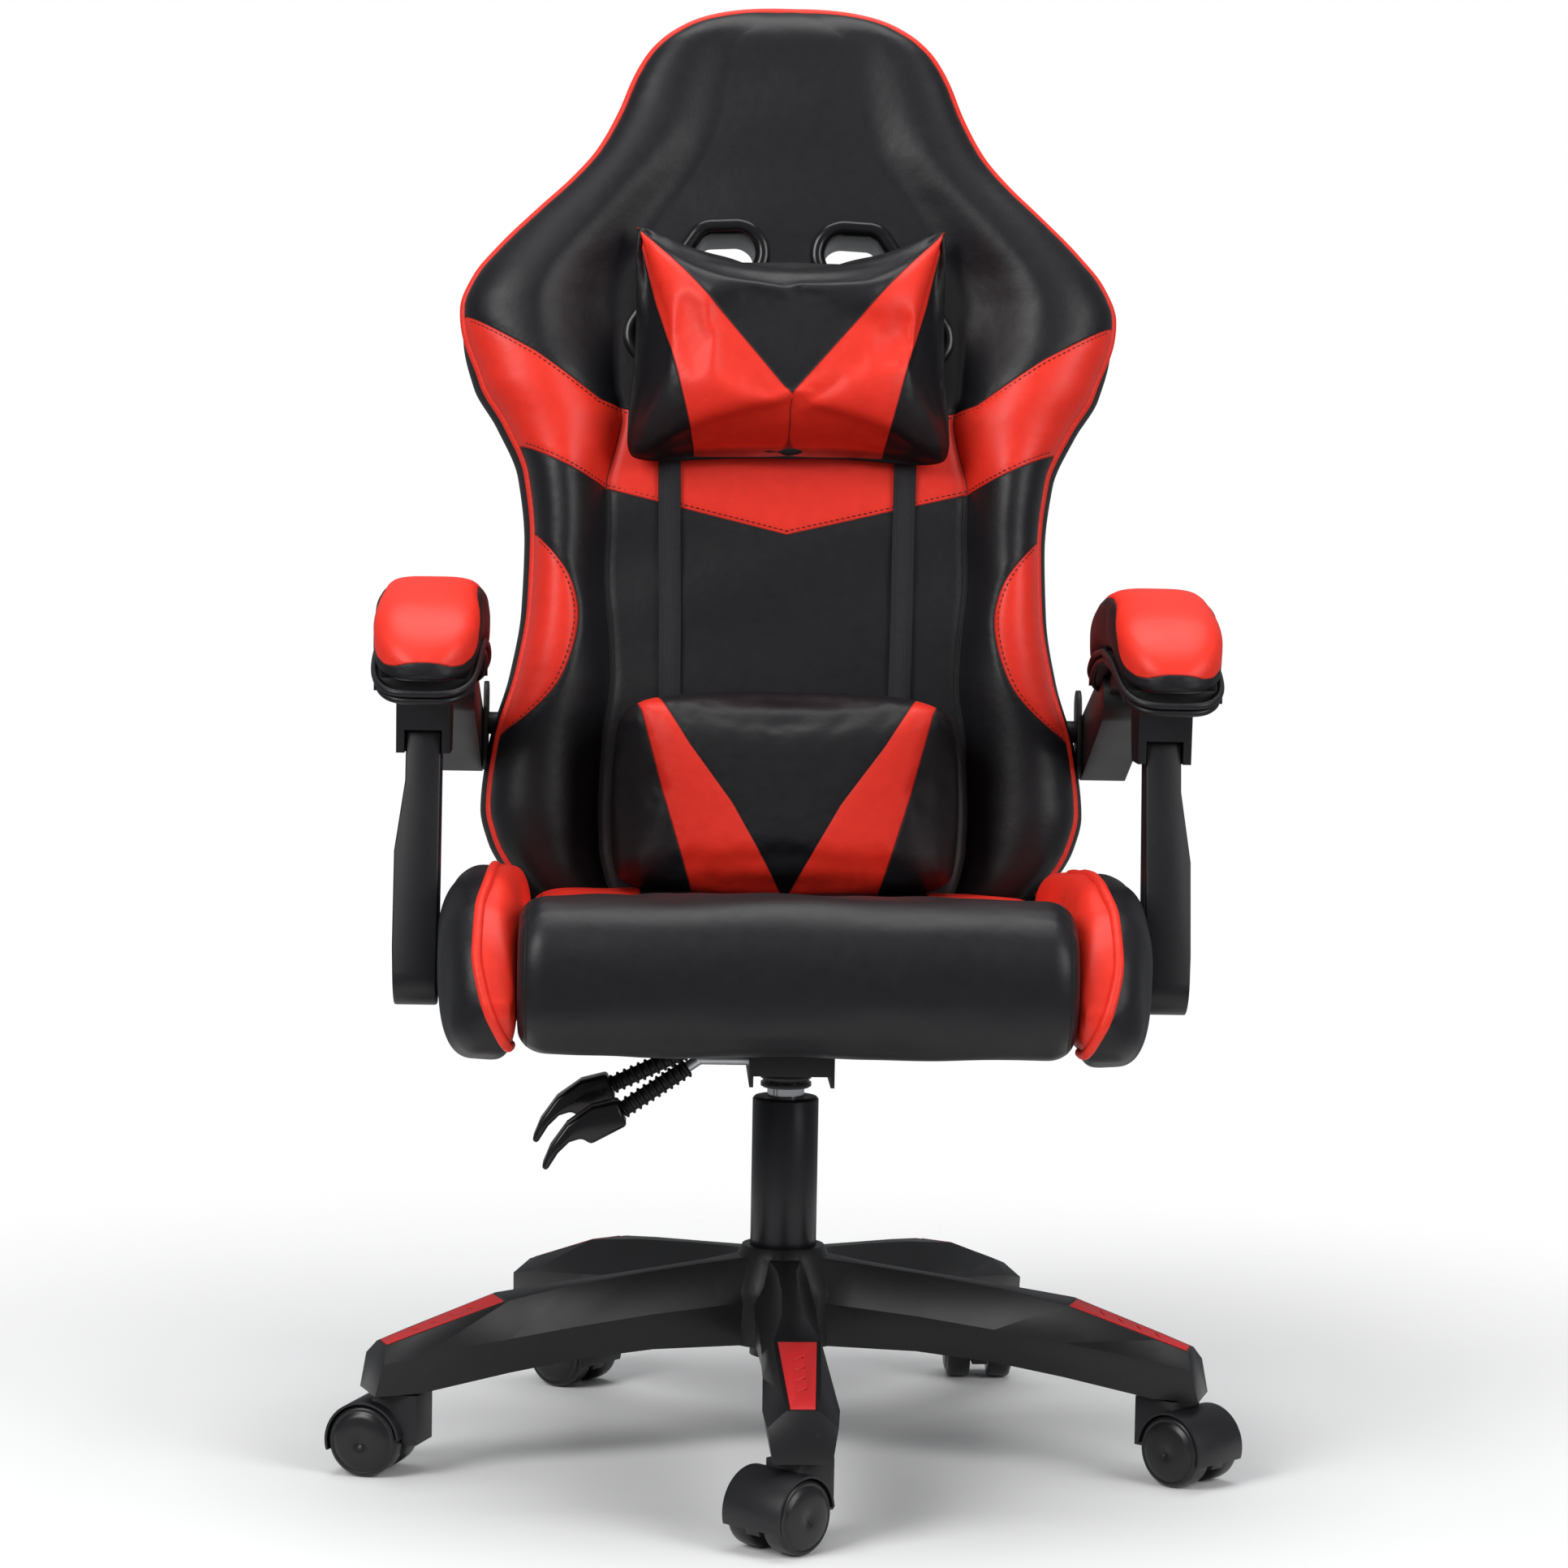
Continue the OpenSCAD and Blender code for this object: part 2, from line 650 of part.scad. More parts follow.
function back_ring(q) =
    let (s = q * back_k, w = half_w(s), wp = w - lookup(q, PIPING_IN),
        toe = min(panel_half, 0.62 * w), crest = toe + 0.58 * (wp - toe),
        p = panel_depth * lookup(q, PANEL),
        f = max(p + 1, bolster_depth * lookup(q, BOLSTER)), r = rear_depth * lookup(q, REAR),
        half = [[0.4 * w, 0.97 * r], [0.78 * w, 0.9 * r], [0.94 * w, 0.7 * r], [w, 0.25 * r], [0.995 * w, -0.2 * p],
            [wp, -0.68 * p], [crest + 0.6 * (wp - crest), -0.86 * f], [crest, -f],
            [(crest + toe) / 2, -p - 0.6 * (f - p)], [toe, -p]])
    concat([[0, r, s]], [for (h = half) [h[0], h[1], s]], [[0, -p - panel_crown, s]],
        [for (i = [len(half) - 1:-1:0]) [-half[i][0], half[i][1], s]]);

module hole_outline(grow) {
    hull() for (c = HOLE) translate([c[0], c[1] * back_k]) circle(r = c[2] + grow, $fn = 32);
}

// Extrudes an outline given in x and s through the board from y0 to y1
module through_board(y0, y1) {
    translate([0, y1, 0]) rotate([90, 0, 0]) linear_extrude(y1 - y0) children();
}

module back_pad() {
    color(BLACK) on_board() difference() {
        loft([for (i = [len(OUTLINE) - 1:-1:0]) back_ring(OUTLINE[i][0])]);
        for (sign = [-1, 1]) side(sign) through_board(-120, 120) hole_outline(trim_wall + 0.4);
    }
}

module belt_trim(sign) {
    color(BLACK) on_board() side(sign) {
        through_board(trim_front + eps, trim_rear - eps) difference() {
            hole_outline(trim_wall);
            hole_outline(0);
        }
        for (y = [trim_front, trim_rear - trim_proud])
            through_board(y, y + trim_proud) difference() {
                hole_outline(trim_rim);
                hole_outline(0);
            }
    }
}

// Side tube of the back's frame as x and height, and its cross bars as height and half length
BACK_SIDE = [[hinge_x - 8, 6], [hinge_x - 12, 70], [186, 260 * back_k], [192, 390 * back_k],
    [212, 480 * back_k], [150, 615 * back_k], [104, 690 * back_k]];
BACK_BARS = [[130, 198], [420 * back_k, 198], [655 * back_k, 126]];

module back_frame() {
    crown = BACK_SIDE[len(BACK_SIDE) - 1];
    color("#3a3b3e") on_board() {
        for (sign = [-1, 1]) side(sign) {
            bent_bar([for (p = BACK_SIDE) [p[0], 0, p[1]]], back_bar_r + 0.5);
            difference() {
                along_x(hinge_x, hinge_x + hinge_t) {
                    circle(r = back_disc_r);
                    translate([-16, 0]) square([32, 70]);
                }
                rotate([0, 90, 0]) cylinder(h = 400, r = pin_r);
            }
            // spacer that carries the arm hanger
            translate([spacer_x, 0, link_len]) rotate([0, 90, 0]) cylinder(h = hanger_x - spacer_x, r = 9);
            translate([crown[0], 0, crown[1]]) sphere(r = back_bar_r + 1.2);
        }
        for (b = concat([[crown[1], crown[0]]], BACK_BARS))
            bar([-b[1], 0, b[0]], [b[1], 0, b[0]], back_bar_r);
    }
}

module arm_hangers() {
    color("#2a2b2e") on_board() for (sign = [-1, 1]) side(sign) {
        along_x(hanger_x, hanger_x + hanger_t) link_outline([0, link_len - 24], 14, [0, link_len + 20], 14);
        translate([hanger_x + eps, 0, link_len]) rotate([0, 90, 0])
            cylinder(h = hanger_t + leg_w - 6, r = pin_r);
    }
}

// Pillow of width 2w and height h with its foot at s, crowned towards the front
function pillow_ring(s, w, y0, y1, pinch) =
    [for (p = [[-1, 0.35], [-0.93, 0.1], [-0.6, 0], [0, 0], [0.6, 0], [0.93, 0.1], [1, 0.35],
        [0.95, 0.62], [0.72, 0.88], [0.35, 0.98], [0, 1], [-0.35, 0.98], [-0.72, 0.88], [-0.95, 0.62]])
        [w * p[0], y0 - (y0 - y1) * (0.5 + (p[1] - 0.5) * pinch), s]];

module pillow(s, w, h, t) {
    back_y = strap_front - soft_gap;
    color(BLACK) on_board() loft([for (q = [[0, 0.3], [0.06, 0.6], [0.2, 0.88], [0.5, 1], [0.8, 0.88],
        [0.94, 0.6], [1, 0.3]]) pillow_ring(s + h * (1 - q[0]), w, back_y, back_y - t, q[1])]);
}

module head_pillow() {
    pillow(head_s * back_k, head_half_w, head_h, head_t);
}

module lumbar_pillow() {
    pillow(lumbar_s, lumbar_half_w, lumbar_h, lumbar_t);
}

// Elastic strap: down the front under both pillows, and down the rear from the belt hole
module strap(sign) {
    top = (HOLE[2][1] + 6) * back_k;
    foot = back_foot - 6;
    color("#202022") on_board() side(sign) {
        for (y = [strap_front, strap_rear])
            strap_run([strap_x_head, top], [strap_x_lumbar, foot], y);
        for (end = [[strap_x_lumbar, foot - strap_t], [strap_x_head, top]])
            translate([end[0] - strap_w / 2, strap_front, end[1]])
                cube([strap_w, strap_rear - strap_front + strap_t, strap_t]);
    }
}

module strap_run(a, b, y) {
    w = strap_w / 2;
    through_board(y, y + strap_t)
        polygon([[a[0] - w, a[1]], [a[0] + w, a[1]], [b[0] + w, b[1]], [b[0] - w, b[1]]]);
}

// ---- arms ----

module post_body() {
    dir = LINK / link_len;
    side_cut = [[arm_in, -40], [arm_in + post_w - 2, -40], [arm_in + post_w, 20], [arm_in + post_w, 90],
        [arm_in + post_head_w, link_len - 34], [arm_in + post_head_w, link_len + 40], [arm_in, link_len + 40]];
    difference() {
        intersection() {
            along_x(arm_in, arm_in + post_w) link_outline(A0, post_foot_r, A1, post_head_r);
            // front view of the post, laid along the link
            translate([0, A0[0], A0[1]]) rotate([-back_lean, 0, 0]) through_board(-60, 60) polygon(side_cut);
        }
        cross_pin(A0, arm_in - 1, arm_in + post_w - 4, pin_r + run_gap);
        cross_pin(A1, arm_in - 1, arm_in + post_w + 1, pin_r - 1 + 0.5);
    }
}

module post(sign) {
    color(BLACK) side(sign) post_body();
}

// Side view of the arch under the pad, from y0 to y1
module arch_outline(drop, thick, y0, y1) {
    steps = 14;
    ys = [for (i = [0:steps]) y0 + (y1 - y0) * i / steps];
    polygon(concat([for (y = ys) [y, arch_z(y) - drop]],
        [for (i = [steps:-1:0]) [ys[i], arch_z(ys[i]) - drop - thick]]));
}

module arm_body(sign) {
    block_y0 = A1[0] - post_head_r - head_recess;
    block_y1 = A1[0] + block_rear;
    roof = A1[1] + post_head_r + slot_gap;
    lip_z = A1[1] + post_head_r - lip_cover;
    slot_x0 = arm_in - 0.5;
    slot_x1 = arm_in + post_head_w + slot_gap;
    tray_y0 = pad_mid_y - pad_len / 2 + tray_inset;
    tray_y1 = pad_mid_y + pad_len / 2 - tray_inset;
    leg_y = pad_mid_y + pad_len / 2 - leg_inset;
    leg_top = [leg_y, arch_z(leg_y) - tray_t - leg_top_drop];
    leg_foot = [B1[0], B1[1] - leg_drop];
    color(BLACK) side(sign) difference() {
        union() {
            along_x(pad_x - pad_w / 2 + 4, pad_x + pad_w / 2 - 4) arch_outline(0.2, tray_t, tray_y0, tray_y1);
            along_x(leg_in + 4, slot_x1 + cheek_t) arch_outline(tray_t, beam_t, block_y0 - 4, tray_y1);
            along_x(slot_x0 - cheek_t, slot_x1 + cheek_t)
                polygon([[block_y0, A1[1] - cheek_drop], [block_y1 - 8, A1[1] - cheek_drop],
                    [block_y1 + 14, arch_z(0) - 20], [block_y0 - 6, arch_z(block_y0) - tray_t - 4]]);
            along_x(leg_in, leg_in + leg_w) link_outline(leg_top, leg_top_r, leg_foot, leg_foot_r);
        }
        // slot for the post's head, open to the front below its lip
        along_x(slot_x0, slot_x1)
            polygon([[block_y0 + lip_t, lip_z], [block_y0 - 20, lip_z], [block_y0 - 20, A1[1] - 40],
                [block_y1 + 30, A1[1] - 40], [block_y1 - 10, A1[1] - 14], [block_y1 - 10, roof],
                [block_y0 + lip_t, roof]]);
        cross_pin(B1, leg_in - 1, leg_in + leg_w - 5, pin_r + run_gap);
    }
    // pivot pin through both cheeks
    color(BLACK) side(sign) cross_pin(A1, slot_x0 - 2, slot_x1 + 2, pin_r - 1);
}

function pad_ring(t) =
    let (y = pad_mid_y + (t - 0.5) * pad_len, e = pow(abs(2 * t - 1), 5),
        w = pad_w / 2 * (1 - 0.22 * e), z0 = arch_z(y) + 0.2, h = pad_t * (1 - 0.35 * e))
    [for (p = [[-0.86, 0], [-0.98, 0.14], [-1, 0.4], [-0.93, 0.74], [-0.72, 0.93], [0, 1],
        [0.72, 0.93], [0.93, 0.74], [1, 0.4], [0.98, 0.14], [0.86, 0]])
        [pad_x + w * p[0], y, z0 + h * p[1]]];

module arm_pad(sign) {
    color(RED) side(sign) loft([for (t = [0, 0.03, 0.1, 0.22, 0.36, 0.5, 0.64, 0.78, 0.9, 0.97, 1]) pad_ring(t)]);
}

// ---- casters, drawn with the stem on Z and the axle towards +X ----

module caster_hood() {
    hood_r = wheel_r + 2.6;
    half = wheel_gap / 2 + wheel_w + 1;
    boss_top = leg_tip_z - 1;
    difference() {
        union() {
            // fender over the top and rear of both wheels
            translate([trail, 0, wheel_r]) rotate([90, 0, 0]) translate([0, 0, -half + 4]) linear_extrude(2 * half - 8)
                intersection() {
                    difference() {
                        circle(r = hood_r);
                        circle(r = wheel_r + 0.8);
                    }
                    polygon([[-60, 6], [-60, 60], [60, 60], [60, -8], [20, -8], [0, 0]]);
                }
            // middle web and stem boss
            translate([trail, wheel_gap / 2 - 0.8, wheel_r]) rotate([90, 0, 0]) linear_extrude(wheel_gap - 1.6)
                intersection() {
                    circle(r = hood_r - 1);
                    translate([-60, -12]) square([120, 80]);
                }
            translate([-17, -16, wheel_r - 2]) cube([35, 32, boss_top - wheel_r + 2]);
        }
        // wheel wells stay clear
        for (s = [-1, 1]) translate([trail, s * (wheel_gap / 2 + wheel_w / 2), wheel_r]) rotate([90, 0, 0])
            cylinder(h = wheel_w + 1, r = wheel_r + 0.8, center = true);
        translate([0, 0, wheel_r]) cylinder(h = 60, r = stem_r);
        translate([trail, 50, wheel_r]) rotate([90, 0, 0]) cylinder(h = 100, r = axle_r);
    }
}

module caster_pins() {
    axle_half = wheel_gap / 2 + wheel_w - 5;
    translate([0, 0, wheel_r]) cylinder(h = leg_tip_z + stem_depth - 1 - wheel_r, r = stem_r);
    translate([trail, axle_half, wheel_r]) rotate([90, 0, 0]) cylinder(h = 2 * axle_half, r = axle_r);
}

// Wheel on one side of the hood: tread, domed outer face, blind bore for the axle
module wheel(sign) {
    dome = 3;
    translate([trail, sign * wheel_gap / 2, wheel_r]) rotate([-90 * sign, 0, 0]) difference() {
        rotate_extrude() polygon(concat([[0, 0.3], [wheel_r - 1.5, 0.3], [wheel_r, 2], [wheel_r, wheel_w - dome - 2]],
            [for (a = [10:20:90]) [(wheel_r - 1) * cos(a), wheel_w - dome + dome * sin(a)]]));
        translate([0, 0, -1]) cylinder(h = wheel_w - 5 + 1.5, r = axle_r + run_gap);
    }
}

// ---- drawing ----

star_base();
leg_inserts();
lift_tube();
guide_bush();
thrust_bearing();
piston_rod();
gas_cylinder();
valve_pin();
taper_cup();
mechanism_plate();
mechanism_bolts();
lever_rod(height_lever_y, 0);  // height_lever_rod
lever_boot(height_lever_y, 0);  // height_lever_boot
lever_handle(height_lever_y, 0);  // height_lever_handle
lever_rod(recline_lever_y, 9);  // recline_lever_rod
lever_boot(recline_lever_y, 9);  // recline_lever_boot
lever_handle(recline_lever_y, 9);  // recline_lever_handle
seat_frame();
seat_pad();
seat_bolster(-1);  // seat_bolster_left
seat_bolster(1);  // seat_bolster_right
hinge_cover(-1);  // hinge_cover_left
hinge_cover(1);  // hinge_cover_right
hinge_pins();
back_frame();
back_pad();
belt_trim(-1);  // belt_trim_left
belt_trim(1);  // belt_trim_right
head_pillow();
lumbar_pillow();
strap(-1);  // strap_left
strap(1);  // strap_right
arm_hangers();
arm_body(-1);  // arm_body_left
arm_body(1);  // arm_body_right
arm_pad(-1);  // arm_pad_left
arm_pad(1);  // arm_pad_right
post(-1);  // post_left
post(1);  // post_right
for (k = [0:leg_count - 1]) {
    color(BLACK) at_caster(k) caster_hood();
    color(STEEL) at_caster(k) caster_pins();
    color(BLACK) at_caster(k) wheel(1);
    color(BLACK) at_caster(k) wheel(-1);
}
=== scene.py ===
"""Gaming chair: five-leg caster base, gas lift, bolstered seat, reclining back and linked armrests.

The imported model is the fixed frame. Sizes are in millimetres and become metres when a mesh is made.
A point on the back is given in board coordinates: x across, y through the board with the front
negative, and s up the board from the recline hinge.
"""

import json
import logging
import math
from dataclasses import dataclass, field
from enum import Enum
from typing import Mapping, Sequence

import bmesh
import bpy
import numpy as np
from mathutils import Matrix, Vector


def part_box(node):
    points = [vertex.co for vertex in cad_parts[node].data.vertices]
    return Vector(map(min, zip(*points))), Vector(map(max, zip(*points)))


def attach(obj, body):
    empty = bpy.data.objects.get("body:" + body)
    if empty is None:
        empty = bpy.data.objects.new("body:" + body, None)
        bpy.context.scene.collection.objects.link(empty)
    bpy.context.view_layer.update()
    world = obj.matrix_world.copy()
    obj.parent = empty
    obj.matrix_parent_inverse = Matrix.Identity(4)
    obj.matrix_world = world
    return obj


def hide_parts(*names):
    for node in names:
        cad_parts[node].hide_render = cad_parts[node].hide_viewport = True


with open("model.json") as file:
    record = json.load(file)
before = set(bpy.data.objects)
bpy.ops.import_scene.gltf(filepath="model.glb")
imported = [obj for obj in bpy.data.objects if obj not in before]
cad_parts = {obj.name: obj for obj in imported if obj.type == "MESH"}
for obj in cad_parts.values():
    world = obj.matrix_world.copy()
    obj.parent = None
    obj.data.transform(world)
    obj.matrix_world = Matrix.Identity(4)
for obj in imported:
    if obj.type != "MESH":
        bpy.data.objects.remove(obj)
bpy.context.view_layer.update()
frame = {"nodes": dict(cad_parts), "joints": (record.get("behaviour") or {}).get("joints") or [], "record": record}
LOG = logging.getLogger("gaming_chair")
MM = 0.001
SEED = 7
SIDES = {"left": -1, "right": 1}
JOINTS = {joint["name"]: joint for joint in frame["joints"]}
FAR = 30.0
"""A distance, in millimetres, that reads as no seam near."""


# ---- shader arithmetic ----

class Value:
    """A number socket of a material that takes part in Python arithmetic."""

    def __init__(self, shader: "Shader", socket: bpy.types.NodeSocket) -> None:
        """Wraps a socket.

        Args:
            shader: The material being built.
            socket: The output socket.
        """
        self.shader = shader
        self.socket = socket

    def __add__(self, other: "Value | float") -> "Value":
        """Sum."""
        return self.shader.math("ADD", self, other)

    __radd__ = __add__

    def __sub__(self, other: "Value | float") -> "Value":
        """Difference."""
        return self.shader.math("SUBTRACT", self, other)

    def __rsub__(self, other: "Value | float") -> "Value":
        """Difference from a plain number."""
        return self.shader.math("SUBTRACT", other, self)

    def __mul__(self, other: "Value | float") -> "Value":
        """Product."""
        return self.shader.math("MULTIPLY", self, other)

    __rmul__ = __mul__

    def __abs__(self) -> "Value":
        """Absolute value."""
        return self.shader.math("ABSOLUTE", self)

    def sine(self) -> "Value":
        """Sine of the value in radians."""
        return self.shader.math("SINE", self)

    def rise(self, low: float, high: float) -> "Value":
        """Smooth step.

        Args:
            low: Where it is 0.
            high: Where it is 1.

        Returns:
            The step.
        """
        return self.shader.node("ShaderNodeMapRange", {"interpolation_type": "SMOOTHSTEP"},
                                {"Value": self, "From Min": low, "From Max": high})


class Shader:
    """A material under construction."""

    def __init__(self, name: str) -> None:
        """Starts an empty material.

        Args:
            name: The material's name.
        """
        self.material = bpy.data.materials.new(name)
        self.material.use_nodes = True
        self.tree = self.material.node_tree
        self.tree.nodes.clear()

    def node(self, kind: str, settings: Mapping | None = None, inputs: Mapping | None = None,
             output: str | int = 0) -> Value:
        """Adds one node.

        Args:
            kind: The node's type.
            settings: Its properties, set first; "stops" holds a ramp's (position, colour) pairs.
            inputs: Values or links by the socket's name or number.
            output: Which output to return.

        Returns:
            The output as a value.
        """
        made = self.tree.nodes.new(kind)
        for key, setting in (settings or {}).items():
            if key == "stops":
                for stop, (position, colour) in zip(made.color_ramp.elements, setting):
                    stop.position = position
                    stop.color = colour
            else:
                setattr(made, key, setting)
        for key, given in (inputs or {}).items():
            if isinstance(given, Value):
                self.tree.links.new(given.socket, made.inputs[key])
            else:
                made.inputs[key].default_value = given
        return Value(self, made.outputs[output])

    def math(self, operation: str, *terms: Value | float) -> Value:
        """Adds a Math node on one or two terms."""
        return self.node("ShaderNodeMath", {"operation": operation}, dict(enumerate(terms)))

    def place(self) -> Value:
        """Object coordinates, in metres in the object's frame."""
        return self.node("ShaderNodeTexCoord", output="Object")

    def attribute(self, name: str) -> Value:
        """A number stored on the mesh."""
        return self.node("ShaderNodeAttribute", {"attribute_name": name}, output="Fac")

    def noise(self, size_mm: float, detail: float = 2.0, place: Value | None = None) -> Value:
        """Noise around 0.5 with features of the size given."""
        return self.node("ShaderNodeTexNoise", None,
                         {"Vector": place or self.place(), "Scale": 1000 / size_mm, "Detail": detail})

    def cells(self, size_mm: float) -> Value:
        """Distance to the nearest cell centre, for a pebbled grain."""
        return self.node("ShaderNodeTexVoronoi", None, {"Vector": self.place(), "Scale": 1000 / size_mm})

    def mix(self, factor: Value, low: Sequence[float] | Value, high: Sequence[float] | Value) -> Value:
        """Mixes two colours.

        Args:
            factor: Share of the second colour.
            low: The colour at 0.
            high: The colour at 1.

        Returns:
            The colour.
        """
        colours = {6: low, 7: high}
        wide = {k: c if isinstance(c, Value) else (*c, 1.0) for k, c in colours.items()}
        return self.node("ShaderNodeMix", {"data_type": "RGBA"}, {0: factor, **wide}, output=2)

    def shade(self, colour: Value, factor: Value) -> Value:
        """Multiplies a colour by a grey value.

        Args:
            colour: The colour.
            factor: The grey value.

        Returns:
            The darkened colour.
        """
        grey = self.node("ShaderNodeCombineColor", None, {0: factor, 1: factor, 2: factor})
        return self.node("ShaderNodeMix", {"data_type": "RGBA", "blend_type": "MULTIPLY"},
                         {0: 1.0, 6: colour, 7: grey}, output=2)

    def bump(self, height: Value, depth_mm: float, strength: float = 1.0,
             below: Value | None = None) -> Value:
        """Turns a height into a normal.

        Args:
            height: Height from 0 to 1.
            depth_mm: What a height of 1 stands for.
            strength: Share of the effect.
            below: A normal that this one is added to.

        Returns:
            The normal.
        """
        links = {"Height": height, "Distance": depth_mm * MM, "Strength": strength}
        if below is not None:
            links["Normal"] = below
        return self.node("ShaderNodeBump", None, links, "Normal")

    def finish(self, **inputs: Value | float | Sequence[float]) -> bpy.types.Material:
        """Ends the material in one surface shader.

        Args:
            inputs: The surface's sockets, with _ for a space in each name.

        Returns:
            The material.
        """
        surface = self.node("ShaderNodeBsdfPrincipled", None,
                            {key.replace("_", " "): given for key, given in inputs.items()})
        self.node_output(surface)
        return self.material

    def node_output(self, surface: Value) -> None:
        """Links a surface to the material's output."""
        end = self.tree.nodes.new("ShaderNodeOutputMaterial")
        self.tree.links.new(surface.socket, end.inputs["Surface"])


# ---- finishes ----

class Tone(Enum):
    """The covers' two colours."""

    BLACK = (0.0065, 0.0065, 0.0082)
    RED = (0.84, 0.030, 0.014)


@dataclass(frozen=True)
class Leather:
    """Smooth coated fabric with a fine pebble and soft creases, and painted shade along its seams.

    Where the mesh carries the attributes, "red" is the distance inside a red panel and "fold" the
    distance from another seam, both in millimetres.
    """

    name: str
    tone: Tone
    panels: bool = False
    roughness: float = 0.37
    pebble: float = 1.0
    crease: float = 26.0

    def make(self) -> bpy.types.Material:
        """Builds the material."""
        shader = Shader(self.name)
        grain = shader.cells(self.pebble) * 0.6 + shader.noise(self.pebble * 0.8, 1) * 0.4
        soft = shader.noise(self.crease, 3)
        mottle = shader.noise(9, 2)
        mottle_and_seam_shade = mottle * 0.16 + 0.92
        height = soft
        sink = None
        if self.panels:
            red = shader.attribute("red")
            fold = shader.attribute("fold")
            colour = shader.mix(red.rise(-0.25, 0.25), Tone.BLACK.value, Tone.RED.value)
            near = 1 - abs(red).rise(0.2, 1.3)
            line = 1 - abs(fold).rise(0.1, 1.2)
            # The seam lines: they groove the bump and roughen it, and they darken the colour as painted shade.
            sink = shader.math("MAXIMUM", near, line)
            pucker = shader.noise(7, 1) * (1 - abs(red).rise(1, 11))
            height = soft + pucker * 0.5
            # Painted shade: the colour is darkened by up to 62 % along the seams, as if their grooves lay in
            # shade.
            mottle_and_seam_shade = mottle_and_seam_shade * (1 - sink * 0.62)
        else:
            colour = (*self.tone.value, 1.0)
        colour = shader.shade(colour, mottle_and_seam_shade)
        rough = self.roughness + mottle * 0.10 + grain * 0.05
        broad = shader.bump(height, 1.1, 0.55)
        if sink is not None:
            rough = rough + sink * 0.2
            broad = shader.bump(1 - sink, 0.5, 0.5, broad)
        fine = shader.bump(grain, 0.09, 0.55, broad)
        return shader.finish(Base_Color=colour, Roughness=rough, Normal=fine, Specular_IOR_Level=0.34)


@dataclass(frozen=True)
class Moulded:
    """Moulded plastic or rubber with a fine spark-eroded texture and faint handling marks."""

    name: str
    colour: tuple[float, float, float]
    roughness: float = 0.42
    grain: float = 0.5
    depth: float = 0.05
    wear: float = 0.06

    def make(self) -> bpy.types.Material:
        """Builds the material."""
        shader = Shader(self.name)
        grain = shader.noise(self.grain, 3)
        cloud = shader.noise(45, 3)
        scuff = shader.noise(6, 4).rise(0.62, 0.8)
        lift = tuple(min(1.0, channel * 1.5 + 0.012) for channel in self.colour)
        colour = shader.mix(scuff * 0.35 + cloud * 0.15, self.colour, lift)
        rough = self.roughness + (cloud - 0.5) * 0.14 + scuff * self.wear
        return shader.finish(Base_Color=colour, Roughness=rough,
                             Normal=shader.bump(grain, self.depth, 0.7), Specular_IOR_Level=0.36)


@dataclass(frozen=True)
class Metal:
    """Bare or plated steel with fine turning marks."""

    name: str
    colour: tuple[float, float, float]
    roughness: float = 0.28
    metallic: float = 1.0
    marks: float = 0.03

    def make(self) -> bpy.types.Material:
        """Builds the material."""
        shader = Shader(self.name)
        marks = shader.noise(0.7, 2)
        cloud = shader.noise(30, 2)
        stain = tuple(channel * 0.72 for channel in self.colour)
        colour = shader.mix(cloud.rise(0.45, 0.75) * 0.5, self.colour, stain)
        rough = self.roughness + (cloud - 0.5) * 0.12 + (marks - 0.5) * 0.08
        return shader.finish(Base_Color=colour, Roughness=rough, Metallic=self.metallic,
                             Normal=shader.bump(marks, self.marks, 0.5))


@dataclass(frozen=True)
class Webbing:
    """Ribbed elastic: cords along the strap, read from the strap's own map in millimetres, with painted highlights
    on the cord tops and painted shade between them.
    """

    name: str
    colour: tuple[float, float, float]
    cord: float = 1.8
    weft: float = 0.9

    def make(self) -> bpy.types.Material:
        """Builds the material."""
        shader = Shader(self.name)
        place = shader.node("ShaderNodeUVMap", {"uv_map": "strap"})
        across = shader.node("ShaderNodeSeparateXYZ", None, {0: place}, 0)
        along = shader.node("ShaderNodeSeparateXYZ", None, {0: place}, 1)
        cords = (across * (2 * math.pi / self.cord)).sine() * 0.5 + 0.5
        wefts = (along * (2 * math.pi / self.weft)).sine() * 0.5 + 0.5
        height = cords * 0.8 + wefts * 0.2
        # Painted highlight and shade: the colour follows the cords' height, lighter on their tops and darker in
        # the grooves between them.
        cord_highlight = tuple(channel * 2.2 for channel in self.colour)
        colour = shader.mix(height * 0.8, self.colour, cord_highlight)
        rough = 0.75 + shader.noise(4, 2) * 0.15
        return shader.finish(Base_Color=colour, Roughness=rough, Normal=shader.bump(height, 0.35, 0.8))


